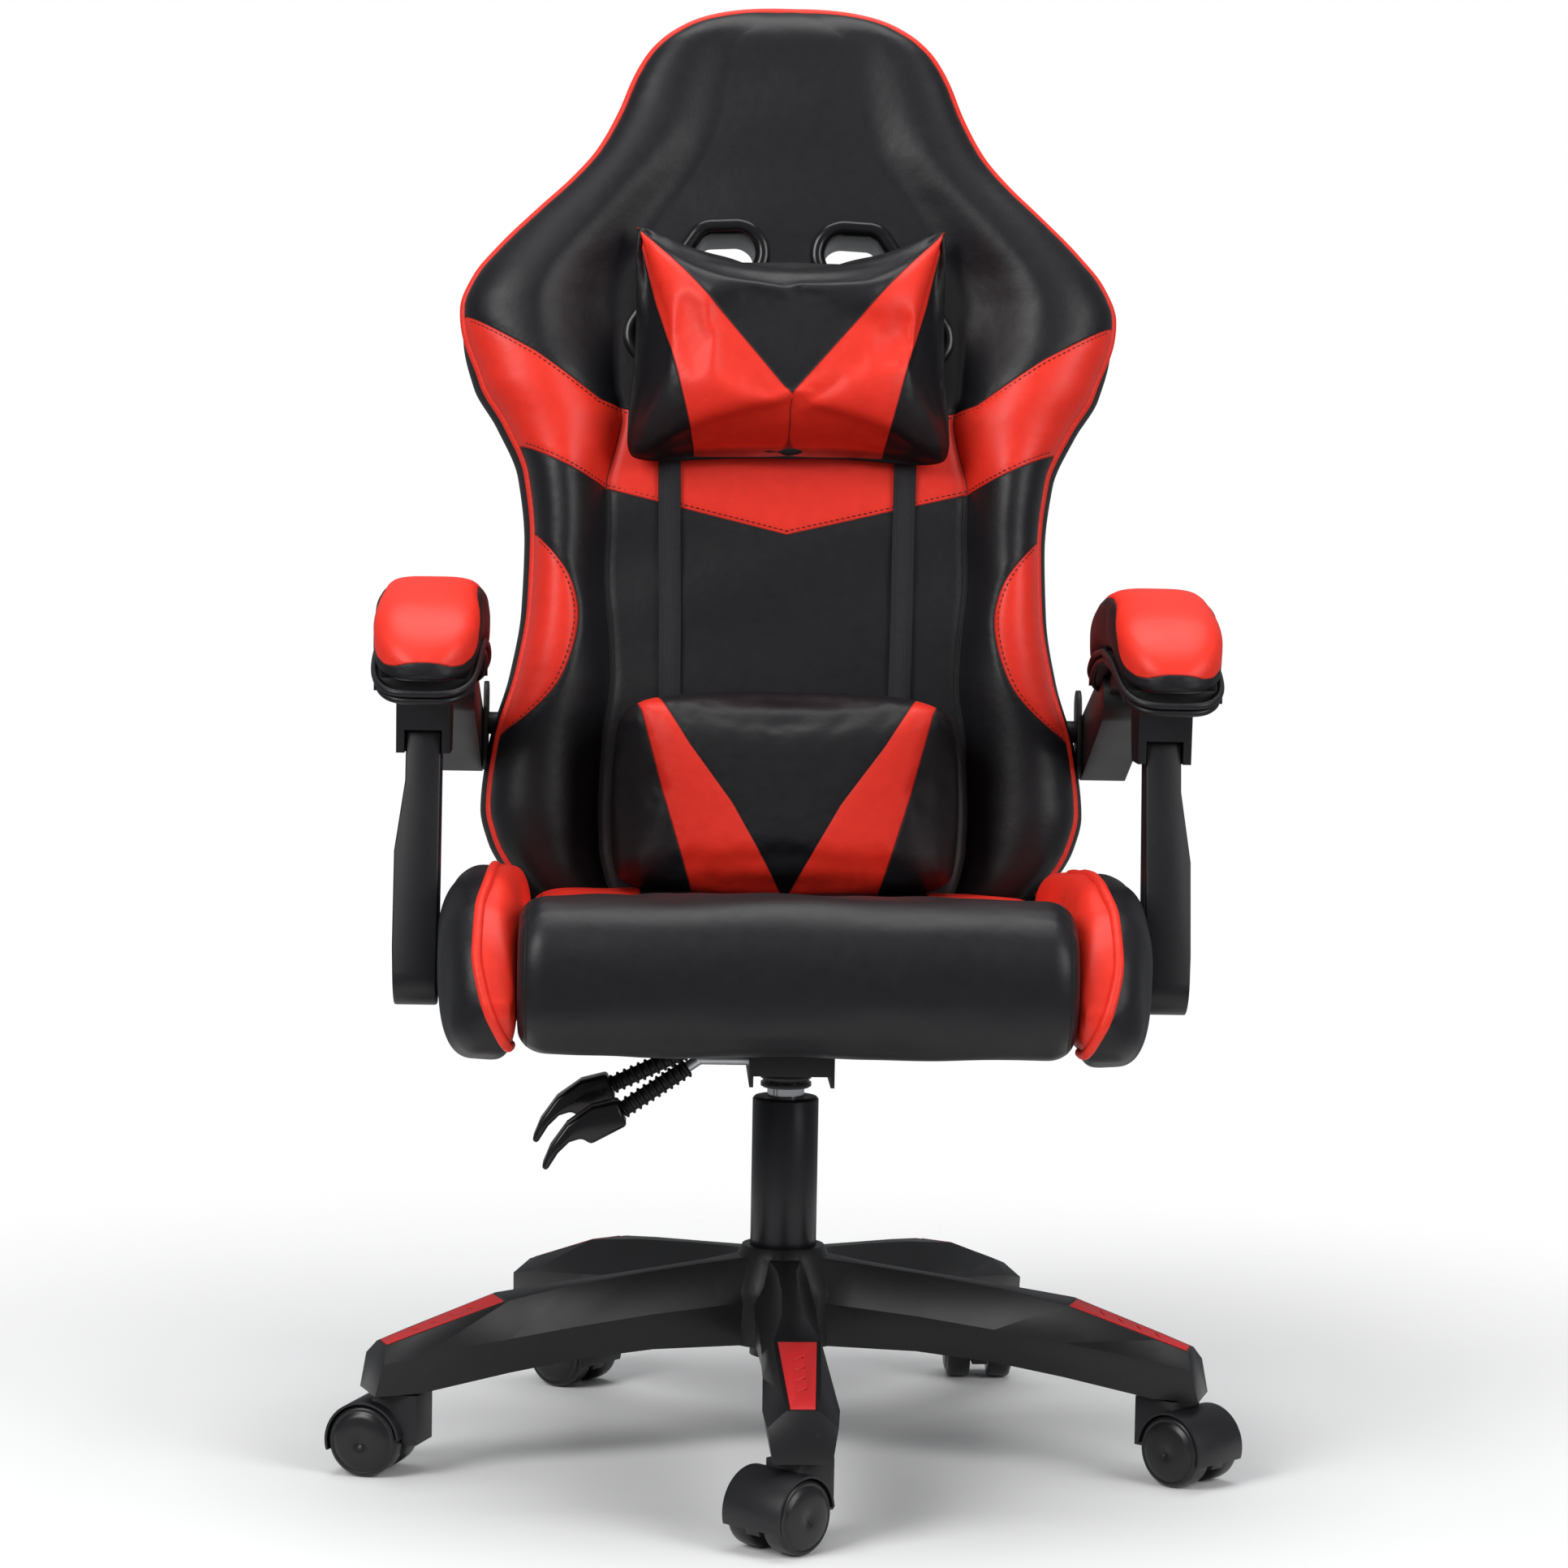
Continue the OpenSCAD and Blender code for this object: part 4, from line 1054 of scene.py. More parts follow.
@dataclass
class BackRest:
    """The upholstered back: bolsters, centre panel, red band and hip crescents, piping and belt holes."""

    foot: float = 22.0
    top: float = 763.0
    panel_depth: float = 35.0
    crown: float = 1.2
    rear: float = 30.0
    shoulder: float = 735.0
    seam_top: float = 436.0
    outline: tuple = ((22, 194), (50, 218), (80, 236), (107, 242.5), (158, 237), (215, 221), (268, 212.5),
                      (321, 211), (375, 217), (416, 235), (448, 254), (490, 263.5), (510, 262.5),
                      (534, 253), (560, 232), (591, 201), (615, 176), (640, 155), (672, 138), (702, 126),
                      (722, 114.5), (735, 102), (745, 87.5), (752, 73), (758, 52), (761.5, 29), (763, 6))
    crest_depth: tuple = ((22, 44), (60, 56), (110, 64), (250, 70), (430, 70), (520, 64), (600, 51),
                          (640, 45), (680, 40), (735, 34))
    toe_inset: tuple = ((22, 66), (110, 95), (180, 89), (300, 66), (364, 70), (433, 110), (500, 124),
                        (560, 112), (620, 92), (700, 74), (735, 58))
    band: tuple = ((0, 395), (151, 433), (203, 468), (255, 497), (300, 522), (300, 440), (209, 392),
                   (146, 363), (0, 328))
    crescent: tuple = ((240, 340), (206, 330), (194, 316), (180, 300), (170, 284), (164.5, 262), (166, 243),
                       (171, 223), (179, 204), (190, 190), (204, 177), (218, 167), (250, 148))
    hole: tuple = ((44, 557, 15), (63, 562, 9), (107, 489, 14))

    def half_width(self, s: np.ndarray | float) -> np.ndarray:
        """Half width of the outline at height s."""
        return smooth(s, self.outline)

    def piping_x(self, s: np.ndarray | float) -> np.ndarray:
        """Half width at the piping."""
        return self.half_width(s) - 1.0 - 8.2 * ease(s, 512, 452)

    def fade(self, s: np.ndarray | float) -> np.ndarray:
        """How the depths close towards the rounded foot and top, from 1 to 0.

        Args:
            s: Height up the board.

        Returns:
            The share of the full depth.
        """
        over = np.clip((np.asarray(s, float) - self.shoulder + 6) / (self.top - self.shoulder + 6), 0, 0.999)
        under = np.clip((self.foot + 16 - np.asarray(s, float)) / 16, 0, 1)
        return np.sqrt(1 - over**2) * (1 - 0.35 * under**2)

    def piping_y(self, s: float) -> float:
        """Depth of the piping seam."""
        return float((-24 + 8 * ease(s, 560, 740)) * self.fade(s))

    def section(self, s: float) -> np.ndarray:
        """Half of the board's section at height s: x, y rows from the rear's middle to the front's.

        Args:
            s: Height up the board.

        Returns:
            The rows.
        """
        w, y0, fade = float(self.half_width(s)), self.piping_y(s), float(self.fade(s))
        p = max(float(self.piping_x(s)), 0.6 * w)
        scale = min(1.0, w / 90)
        crest = float(smooth(s, self.crest_depth)) * fade
        panel = -self.panel_depth * fade * (1 - 0.08 * float(ease(s, 620, 735)))
        toe = max(w - float(smooth(s, self.toe_inset)) * max(scale, 0.25), 0.35 * w)
        if s > 520:
            toe = min(toe, 151)
        top_x = toe + 0.56 * (p - toe)
        rear = self.rear * fade * (1 - 0.45 * float(ease(s, 600, 735)))
        t = np.linspace(0, 1, 22)[:, None]
        flat = np.hstack([0.8 * w * t, rear * (1 - 0.05 * t**2)])
        a = np.linspace(0, math.pi / 2, 13)[1:, None]
        side_y = 2 * fade
        turn = np.hstack([0.8 * w + 0.2 * w * np.sin(a), side_y + (0.95 * rear - side_y) * np.cos(a)])
        t = np.linspace(0, 1, 9)[1:, None]
        band = np.hstack([w + (p - w) * t**2, side_y + (y0 - side_y) * t])
        a = np.linspace(0, math.pi / 2, 24)[1:, None]
        face = np.hstack([top_x + (p - top_x) * np.cos(a) ** 0.9, y0 - (crest + y0) * np.sin(a) ** 0.8])
        t = np.linspace(0, 1, 26)[1:, None]
        seamed = 1 - float(ease(s, 450, 520))
        fall = seamed * (1 - t**1.9) + (1 - seamed) * (0.5 + 0.5 * np.cos(math.pi * t))
        slope = np.hstack([top_x + (toe - top_x) * t, panel - (crest + panel) * fall])
        t = np.linspace(0, 1, 30)[1:, None]
        middle = np.hstack([toe * (1 - t), panel - self.crown * (1 - (1 - t) ** 2)])
        return np.vstack([flat, turn, band, face, slope, middle])

    def heights(self) -> np.ndarray:
        """The heights of the rings, closer together at the rounded ends.

        Returns:
            The heights, rising.
        """
        start = self.shoulder
        low = np.array([0, 0.6, 2, 4.5, 8, 12]) + self.foot
        angle = np.linspace(0, math.pi / 2 * 0.985, 18)
        high = start + (self.top - start) * np.sin(angle)
        return np.concatenate([low, np.arange(self.foot + 16, start, 4.2), high])

    def panels(self, x: np.ndarray, s: np.ndarray) -> np.ndarray:
        """Distance inside the red panels.

        Args:
            x: Places across the board.
            s: Heights up the board.

        Returns:
            One distance per place, in millimetres.
        """
        at = np.stack([x, s], axis=1)
        mirror = np.stack([-x, s], axis=1)
        other = [(-a, b) for a, b in self.band[-2:0:-1]]
        curve = soften(np.array(self.crescent), 2)
        lobe = [*map(tuple, curve), (300, 148), (300, 340)]
        lobes = np.maximum(inside(at, lobe), inside(mirror, lobe))
        return np.maximum(inside(at, [*self.band, *other]), lobes)

    def front(self, x: float, s: float) -> float:
        """Depth of the front face at a point.

        Args:
            x: Place across the board.
            s: Height up the board.

        Returns:
            The depth, in millimetres.
        """
        half = self.section(s)
        face = half[np.argmax(half[:, 0]) + 9:][::-1]
        return float(np.interp(abs(x), face[:, 0], face[:, 1]))

    def run(self, points: Sequence[tuple[float, float]], lift: float = 0.0, step: float = 5.0) -> np.ndarray:
        """A line drawn on the front face, as frame points.

        Args:
            points: (x, s) corners of the line.
            lift: How far the line stands off the face.
            step: The spacing of its points.

        Returns:
            The line's points.
        """
        path = resample(np.array(points, float), step)
        drawn = [(x, self.front(x, s) - lift, s) for x, s in path]
        return BOARD.place(np.array(drawn))

    def body(self) -> bpy.types.Object:
        """The padded shell with its seams drawn in.

        Returns:
            The object.
        """
        rows = self.heights()
        halves = np.array([self.section(s) for s in rows])
        mirrored = halves[:, -2:0:-1] * np.array([-1, 1])
        loops = np.concatenate([halves, mirrored], axis=1)
        grid_s = np.broadcast_to(rows[:, None], loops.shape[:2])
        x, y = loops[..., 0].copy(), loops[..., 1].copy()
        ahead = y < np.array([self.piping_y(s) for s in rows])[:, None] - 0.5
        red = self.panels(x.ravel(), grid_s.ravel()).reshape(x.shape)
        red = np.where(ahead, red, -FAR)
        toe = np.array([half[-30, 0] for half in halves])[:, None]
        fold = np.where(ahead & (grid_s < self.seam_top), np.abs(x) - toe, FAR)
        y += np.where(ahead, 2.6 * np.exp(-(fold / 3.2) ** 2) + 1.3 * np.exp(-(red / 2.6) ** 2), 0)
        edge = np.where(ahead, self.piping_x(grid_s) - np.abs(x), 40)
        gather = np.sin(grid_s * 2 * math.pi / 13 + 2.2 * ripple(np.stack([x, grid_s], -1).reshape(-1, 2), 70)
                        .reshape(x.shape))
        y += np.where(ahead, 0.55 * gather * np.exp(-np.clip(edge, 0, None) / 9), 0)
        soft = ripple(np.stack([x, grid_s], -1).reshape(-1, 2), 85, 3).reshape(x.shape)
        y += 0.7 * soft * self.fade(grid_s)
        rings = BOARD.place(np.stack([x, y, grid_s], axis=-1))
        return loft("back_cover", rings, {"red": red, "fold": fold})

    def cut_holes(self, piece: bpy.types.Object) -> None:
        """Cuts the two belt holes through the cover.

        Args:
            piece: The cover.
        """
        for sign in SIDES.values():
            ring = self.hole_ring(2.4, 48)
            rings = np.array([[(sign * x, y, s) for x, s in ring] for y in (-90, 70)])
            cutter = loft("cutter", BOARD.place(rings))
            cut = piece.modifiers.new("hole", "BOOLEAN")
            cut.operation = "DIFFERENCE"
            cut.solver = "EXACT"
            cut.object = cutter
            bake_modifiers(piece)
            bpy.data.objects.remove(cutter)

    def hole_ring(self, grow: float, count: int = 72) -> np.ndarray:
        """The belt hole's outline grown by a distance, as x, s rows.

        Args:
            grow: The distance.
            count: Points in the ring.

        Returns:
            The rows.
        """
        points = []
        for angle in np.linspace(0, 2 * math.pi, count, endpoint=False):
            way = np.array([math.cos(angle), math.sin(angle)])
            best = max(self.hole, key=lambda c: c[0] * way[0] + c[1] * way[1] + c[2])
            points.append(np.array(best[:2]) + (best[2] + grow) * way)
        return np.array(points)

    def trim(self, name: str, sign: int) -> bpy.types.Object:
        """A moulded surround for a belt hole, from the front flange to the rear one.

        Args:
            name: The piece's name.
            sign: The side's sign on x.

        Returns:
            The object.
        """
        face, back = -self.panel_depth - self.crown, self.rear
        profile = [(0.3, 0), (0.0, -12), (0.6, -30), (2.0, -35.5), (4.2, face - 2.6), (7.5, face - 3.3),
                   (10.8, face - 2.4), (12.6, face - 0.6), (13.0, face + 1.5), (3.2, face + 2.4),
                   (3.2, back - 3), (13.0, back - 1.5), (12.4, back + 0.9), (10.4, back + 1.8),
                   (7.0, back + 2.0), (3.4, back + 1.2), (1.2, back - 1.5), (0.4, back - 8)]
        rings = np.array([[(sign * x, y, s) for x, s in self.hole_ring(grow)] for grow, y in profile])
        index = np.concatenate([rings, rings[:1]])
        piece = loft(name, BOARD.place(index), capped=False)
        return face_out(piece, merge=0.001)

    def edge_path(self) -> np.ndarray:
        """The piping's line, from the left foot over the top to the right foot.

        Returns:
            Board points.
        """
        start = self.shoulder
        angle = np.linspace(0.02, math.pi / 2, 26)
        high = start + (self.top - start) * np.sin(angle)
        rows = np.concatenate([np.arange(self.foot + 20, start, 4), high])
        right = np.array([(float(self.piping_x(s)), self.piping_y(s) - 0.5, s) for s in rows])
        left = right[::-1] * np.array([-1, 1, 1])
        return np.vstack([right, left[1:]])[::-1]

    def build(self) -> None:
        """Builds and dresses the back's cover, piping, stitches and trims."""
        cover = self.body()
        self.cut_holes(cover)
        fit(cover, "back", "cover", "back_pad")
        path = resample(BOARD.place(self.edge_path()), 3.0)
        fit(tube("back_piping", path, 4.0, 12), "back", "piping")
        for side, sign in SIDES.items():
            fit(self.trim(f"belt_surround_{side}", sign), "back", "gloss", f"belt_trim_{side}")
        rows = []
        top, low = self.band[:4], self.band[-3:]
        for sign in SIDES.values():
            rows.append(self.run([(sign * x, s - 3.0) for x, s in top if x < 256], 0.25))
            rows.append(self.run([(sign * x, s + 3.0) for x, s in low[::-1]], 0.25))
            curve = soften(np.array(self.crescent[2:-1]), 2)
            rows.append(self.run([(sign * (x + 3.0), s) for x, s in curve], 0.25))
        stitch_run("back_stitches", "back", rows)


@dataclass
class Pillow:
    """A stuffed pillow on the back, with red bands sewn into its face."""

    name: str
    node: str
    half_low: float
    half_high: float
    low: float
    high: float
    dip_low: float
    dip_high: float
    pinch: float
    square: float
    back: float
    depth: float
    puff: float
    bands: tuple
    soft_low: float
    soft_high: float
    spine: float = 0.0
    cap: float = 14.0
    across: int = 71
    up: int = 53

    def sheet(self, forward: bool) -> tuple[np.ndarray, np.ndarray, np.ndarray]:
        """One face's grid: board points and its two map coordinates.

        Args:
            forward: Whether it is the front face.

        Returns:
            The grid and its maps, one row per height.
        """
        u = np.sin(np.linspace(-1, 1, self.across) * math.pi / 2)
        v = np.sin(np.linspace(-1, 1, self.up) * math.pi / 2)
        u, v = np.meshgrid(u, v)
        middle = (self.low + self.high) / 2
        rise = (self.high - self.low) / 2
        half = self.half_low + (self.half_high - self.half_low) * (v + 1) / 2 - self.pinch * (1 - v**2)
        dip = np.where(v > 0, self.dip_high, self.dip_low) * np.abs(v) * (1 - np.abs(u) ** 2.4)
        s = middle + v * rise - np.sign(v) * dip
        pull = np.where(v > 0, self.soft_high, self.soft_low) * np.abs(u) ** 7 * np.abs(v) ** 7
        half = half - pull
        s = s - np.sign(v) * pull
        n = self.square
        full = ((1 - np.abs(u) ** n) * (1 - np.abs(v) ** n)) ** (0.5 + 0.1 * (4 - min(n, 4)))
        share = 0.68 if forward else 0.32
        seam = self.back - 0.32 * self.depth
        y = seam + (-1 if forward else 1) * share * self.depth * full
        return np.stack([u * half, y, s], axis=-1), u, v

    def shell(self) -> bpy.types.Object:
        """The closed cover before it is filled.

        Returns:
            The object.
        """
        face, u, v = self.sheet(True)
        rear, _, _ = self.sheet(False)
        count = self.across * self.up
        index = np.arange(count).reshape(self.up, self.across)
        rim = np.zeros_like(index, bool)
        rim[[0, -1], :] = rim[:, [0, -1]] = True
        other = np.where(rim, index, 0)
        other[~rim] = count + np.arange((~rim).sum())
        faces = []
        for grid, turn in ((index, 1), (other, -1)):
            for i in range(self.up - 1):
                for j in range(self.across - 1):
                    quad = [grid[i, j], grid[i, j + 1], grid[i + 1, j + 1], grid[i + 1, j]]
                    faces.append(quad[::turn])
        points = np.vstack([face.reshape(-1, 3), rear[~rim]])
        piece = make_mesh(self.name, BOARD.place(points), faces)
        self.u = np.concatenate([u.ravel(), u[~rim]])
        self.v = np.concatenate([v.ravel(), v[~rim]])
        self.forward = np.arange(len(points)) < count
        return face_out(piece)

    def dress(self, piece: bpy.types.Object) -> None:
        """Sews the bands, the rim and the middle seam into the filled pillow.

        Args:
            piece: The filled pillow.
        """
        at = BOARD.read(points_of(piece))
        flat = at[:, [0, 2]]
        red = np.full(len(at), -FAR)
        for band in self.bands:
            red = np.maximum(red, np.maximum(inside(flat, band), inside(flat * [-1, 1], band)))
        red = np.where(self.forward, red, -FAR)
        middle = (self.low + self.high) / 2
        reach_x, reach_s = self.half_low, self.high - middle
        rim = np.minimum((1 - np.abs(self.u)) * reach_x, (1 - np.abs(self.v)) * reach_s)
        spine = np.where(self.forward & (at[:, 2] < self.spine), np.abs(at[:, 0]), FAR)
        fold = np.minimum(rim, spine)
        near = np.minimum((1 - np.abs(self.v)) * reach_s, 40)
        pleat = np.sin(at[:, 0] * 2 * math.pi / 21 + 2 * ripple(flat, 60, 11)) * np.exp(-near / 13)
        side = np.minimum((1 - np.abs(self.u)) * reach_x, 40)
        tuck = np.sin(at[:, 2] * 2 * math.pi / 17 + 2 * ripple(flat, 60, 12)) * np.exp(-side / 11)
        push = np.where(self.forward, 1, 0) * (1.2 * pleat + 0.9 * tuck) * (rim > 0.01)
        sink = 1.1 * np.exp(-(red / 2.3) ** 2) * self.forward + 1.6 * np.exp(-(spine / 2.5) ** 2)
        at[:, 1] += np.where(rim > 0.01, push + sink, 0)
        store(piece, BOARD.place(at))
        mark(piece, "red", red)
        mark(piece, "fold", fold)

    def settle(self, piece: bpy.types.Object) -> None:
        """Brings the filled pillow back to its width, height and depth.

        Args:
            piece: The filled pillow.
        """
        at = BOARD.read(points_of(piece))
        low, high = at.min(axis=0), at.max(axis=0)
        wide = max(self.half_low, self.half_high)
        want_low = np.array([-wide, self.back - self.depth, self.low])
        want_high = np.array([wide, self.back, self.high])
        at = want_low + (at - low) / (high - low) * (want_high - want_low)
        store(piece, BOARD.place(at))

    def build(self) -> bpy.types.Object:
        """Builds, fills and dresses the pillow.

        Returns:
            The piece.
        """
        piece = self.shell()
        swell(piece, self.puff, self.cap, frames=16, stiff=12, bend=0.4)
        self.settle(piece)
        self.dress(piece)
        refine(piece)
        fit(piece, "back", "pillow", self.node)
        return piece


@dataclass
class Strap:
    """An elastic strap: down the front under both pillows, round the foot and up the rear."""

    width: float = 18.0
    thick: float = 1.5
    top: float = 495.0
    foot: float = 15.2
    x_top: float = 96.3
    x_foot: float = 89.0
    front: tuple = ((15, -38.4), (60, -38.4), (400, -38.4), (450, -39.2), (480, -41.4), (495, -42.0))
    rear: float = 33.4

    def build(self, side: str, sign: int) -> None:
        """Builds one strap.

        Args:
            side: Left or right, as in the names.
            sign: The side's sign on x.
        """
        levels = np.linspace(self.foot, self.top, 70)
        ahead = np.stack([smooth(levels, self.front), levels], axis=1)
        behind = np.stack([np.full(60, self.rear), np.linspace(self.foot, self.top, 60)], axis=1)
        route = np.vstack([ahead, behind[::-1], ahead[:1]])
        route = resample(soften(route, 2), 5)
        centre = route.mean(axis=0)
        way = np.gradient(route, axis=0)
        way /= np.linalg.norm(way, axis=1)[:, None]
        out = np.stack([way[:, 1], -way[:, 0]], axis=1)
        out *= np.sign(np.sum(out * (route - centre), axis=1))[:, None]
        half = self.width / 2
        corners = [(-half, 0.2), (-half + 0.5, self.thick), (half - 0.5, self.thick), (half, 0.2), (half, 0),
                   (-half, 0)]
        rings = []
        for (y, s), (oy, os) in zip(route, out):
            x = self.x_foot + (self.x_top - self.x_foot) * (s - self.foot) / (self.top - self.foot)
            rings.append([(sign * (x + a), y + oy * b, s + os * b) for a, b in corners])
        rings = BOARD.place(np.array(rings))
        piece = loft(f"elastic_{side}", rings, capped=False)
        face_out(piece, merge=0.01)
        layer = piece.data.uv_layers.new(name="strap")
        at = BOARD.read(points_of(piece))
        for loop in piece.data.loops:
            x, _, s = at[loop.vertex_index]
            layer.data[loop.index].uv = (x, s)
        fit(piece, "back", "strap", f"strap_{side}")


def build_pillows() -> None:
    """Builds the head and lumbar pillows and their straps."""
    head = Pillow("head_cushion", "head_pillow", 129, 121, 383, 573, 13, 29, 6, 3.6, -42.3, 76, 5,
                  (((124, 574), (118, 566), (0, 429), (0, 366), (70, 366), (76, 392), (90, 446),
                    (108, 506)),),
                  9, 0, spine=428)
    head.build()
    lumbar = Pillow("lumbar_cushion", "lumbar_pillow", 137, 135, 33, 196, 0, 0, 0, 12, -42.3, 90, 3,
                    (((132, 214), (124, 196), (114, 176), (96, 110), (68, 20), (-6, 20), (42, 104), (76, 150),
                      (96, 182), (108, 198), (118, 214)),), 9, 13, cap=5)
    lumbar.build()
    for side, sign in SIDES.items():
        Strap().build(side, sign)


@dataclass
class SeatCushion:
    """The seat's centre cushion: a fat front roll, a falling top and red corners at the rear."""

    low: np.ndarray = field(default_factory=lambda: corners_of("seat_pad")[0])
    high: np.ndarray = field(default_factory=lambda: corners_of("seat_pad")[1])
    fall: float = 29.0
    roll: float = 56.0
    edge: float = 20.0
    crown: float = 4.0
    face: float = 385.0
    corner: tuple = ((215, -66), (188, -50), (118, 46), (113, 84), (112, 200), (215, 200))

    def profile(self) -> np.ndarray:
        """The side view's closed outline as y, z rows.

        Returns:
            The rows.
        """
        middle = (self.low[2] + self.high[2]) / 2
        half = (self.high[2] - self.low[2]) / 2
        front = self.low[1] + self.roll
        angle = np.linspace(math.radians(262), math.radians(84), 44)
        power = 0.86
        nose = np.stack([front + self.roll * np.sign(np.cos(angle)) * np.abs(np.cos(angle)) ** power,
                         middle + half * np.sign(np.sin(angle)) * np.abs(np.sin(angle)) ** power], axis=1)
        y = np.linspace(nose[-1, 0] + 6, self.high[1] - 10, 60)
        level = self.high[2] - self.fall
        falling = ((nose[-1, 0], self.high[2]), (front + 130, self.high[2] - 0.55 * self.fall),
                   (0.6 * self.high[1], level), (self.high[1], level))
        top = np.stack([y, smooth(y, falling)], axis=1)
        angle = np.linspace(math.pi / 2, 0, 8)
        arc = 10 * np.stack([np.cos(angle), np.sin(angle)], axis=1)
        turn = self.high[[1, 2]] - [10, self.fall + 10] + arc
        back = np.array([[self.high[1], self.low[2] + 24], [self.high[1], self.low[2] + 10],
                         [self.high[1] - 3, self.low[2] + 3], [self.high[1] - 10, self.low[2]]])
        y = np.linspace(self.high[1] - 20, nose[0, 0] + 8, 36)
        under = np.stack([y, np.full(36, self.low[2])], axis=1)
        return np.vstack([nose, top, turn, back, under])

    def build(self) -> None:
        """Builds, fills and dresses the cushion."""
        outline = self.profile()
        half = self.high[0]
        angle = np.linspace(0, math.pi / 2, 9)
        cheek = half - self.edge + self.edge * np.sin(angle)
        middle = np.linspace(-half + self.edge + 5, half - self.edge - 5, 62)
        across = np.concatenate([-cheek[::-1], middle, cheek])
        core = np.array([(self.low[1] + self.high[1]) / 2, (self.low[2] + self.high[2]) / 2])
        rings = []
        for x in across:
            out = max(0.0, abs(x) - (half - self.edge)) / self.edge
            inset = self.edge * (1 - math.sqrt(max(0.0, 1 - out**2))) * 0.8
            spread = 1 - inset / ((self.high[1:] - self.low[1:]) / 2)
            ring = core + (outline - core) * spread
            bow = 1 - (x / half) ** 2
            ring[:, 1] += self.crown * bow * ease(outline[:, 1], 370, 420)
            ring[:, 0] -= 2.5 * bow * ease(-outline[:, 0], 170, 230)
            rings.append([(x, y, z) for y, z in ring])
        piece = loft("seat_cushion", np.array(rings))
        swell(piece, 3, 6, frames=12, stiff=20, bend=2.0)
        at = points_of(piece)
        lower = ease(at[:, 2], 390, 335) * ease(-at[:, 1], 150, 215)
        at[:, 1] -= 1.5 * ripple(at[:, [0, 2]], 55, 21) * lower
        at[:, 2] += 1.3 * ripple(at[:, [0, 1]], 70, 22)
        at[:, 1] += 0.8 * ripple(at[:, [0, 2]], 95, 23)
        side = half - np.abs(at[:, 0])
        at[:, 2] += 0.7 * np.sin(at[:, 1] * 2 * math.pi / 15) * np.exp(-np.clip(side, 0, None) / 16)
        plan = at[:, :2]
        red = np.maximum(inside(plan, self.corner), inside(plan * [-1, 1], self.corner))
        red = np.where(at[:, 2] > self.face, red, -FAR)
        at[:, 2] -= 1.5 * np.exp(-(red / 3) ** 2)
        at = np.clip(at, self.low - [0, 3, 0], self.high + [0, 0, 4])
        store(piece, at)
        mark(piece, "red", red)
        mark(piece, "fold", np.where(np.abs(at[:, 0]) > half - 14, half - 6.5 - np.abs(at[:, 0]), FAR))
        refine(piece)
        fit(piece, "seat", "cover", "seat_pad")


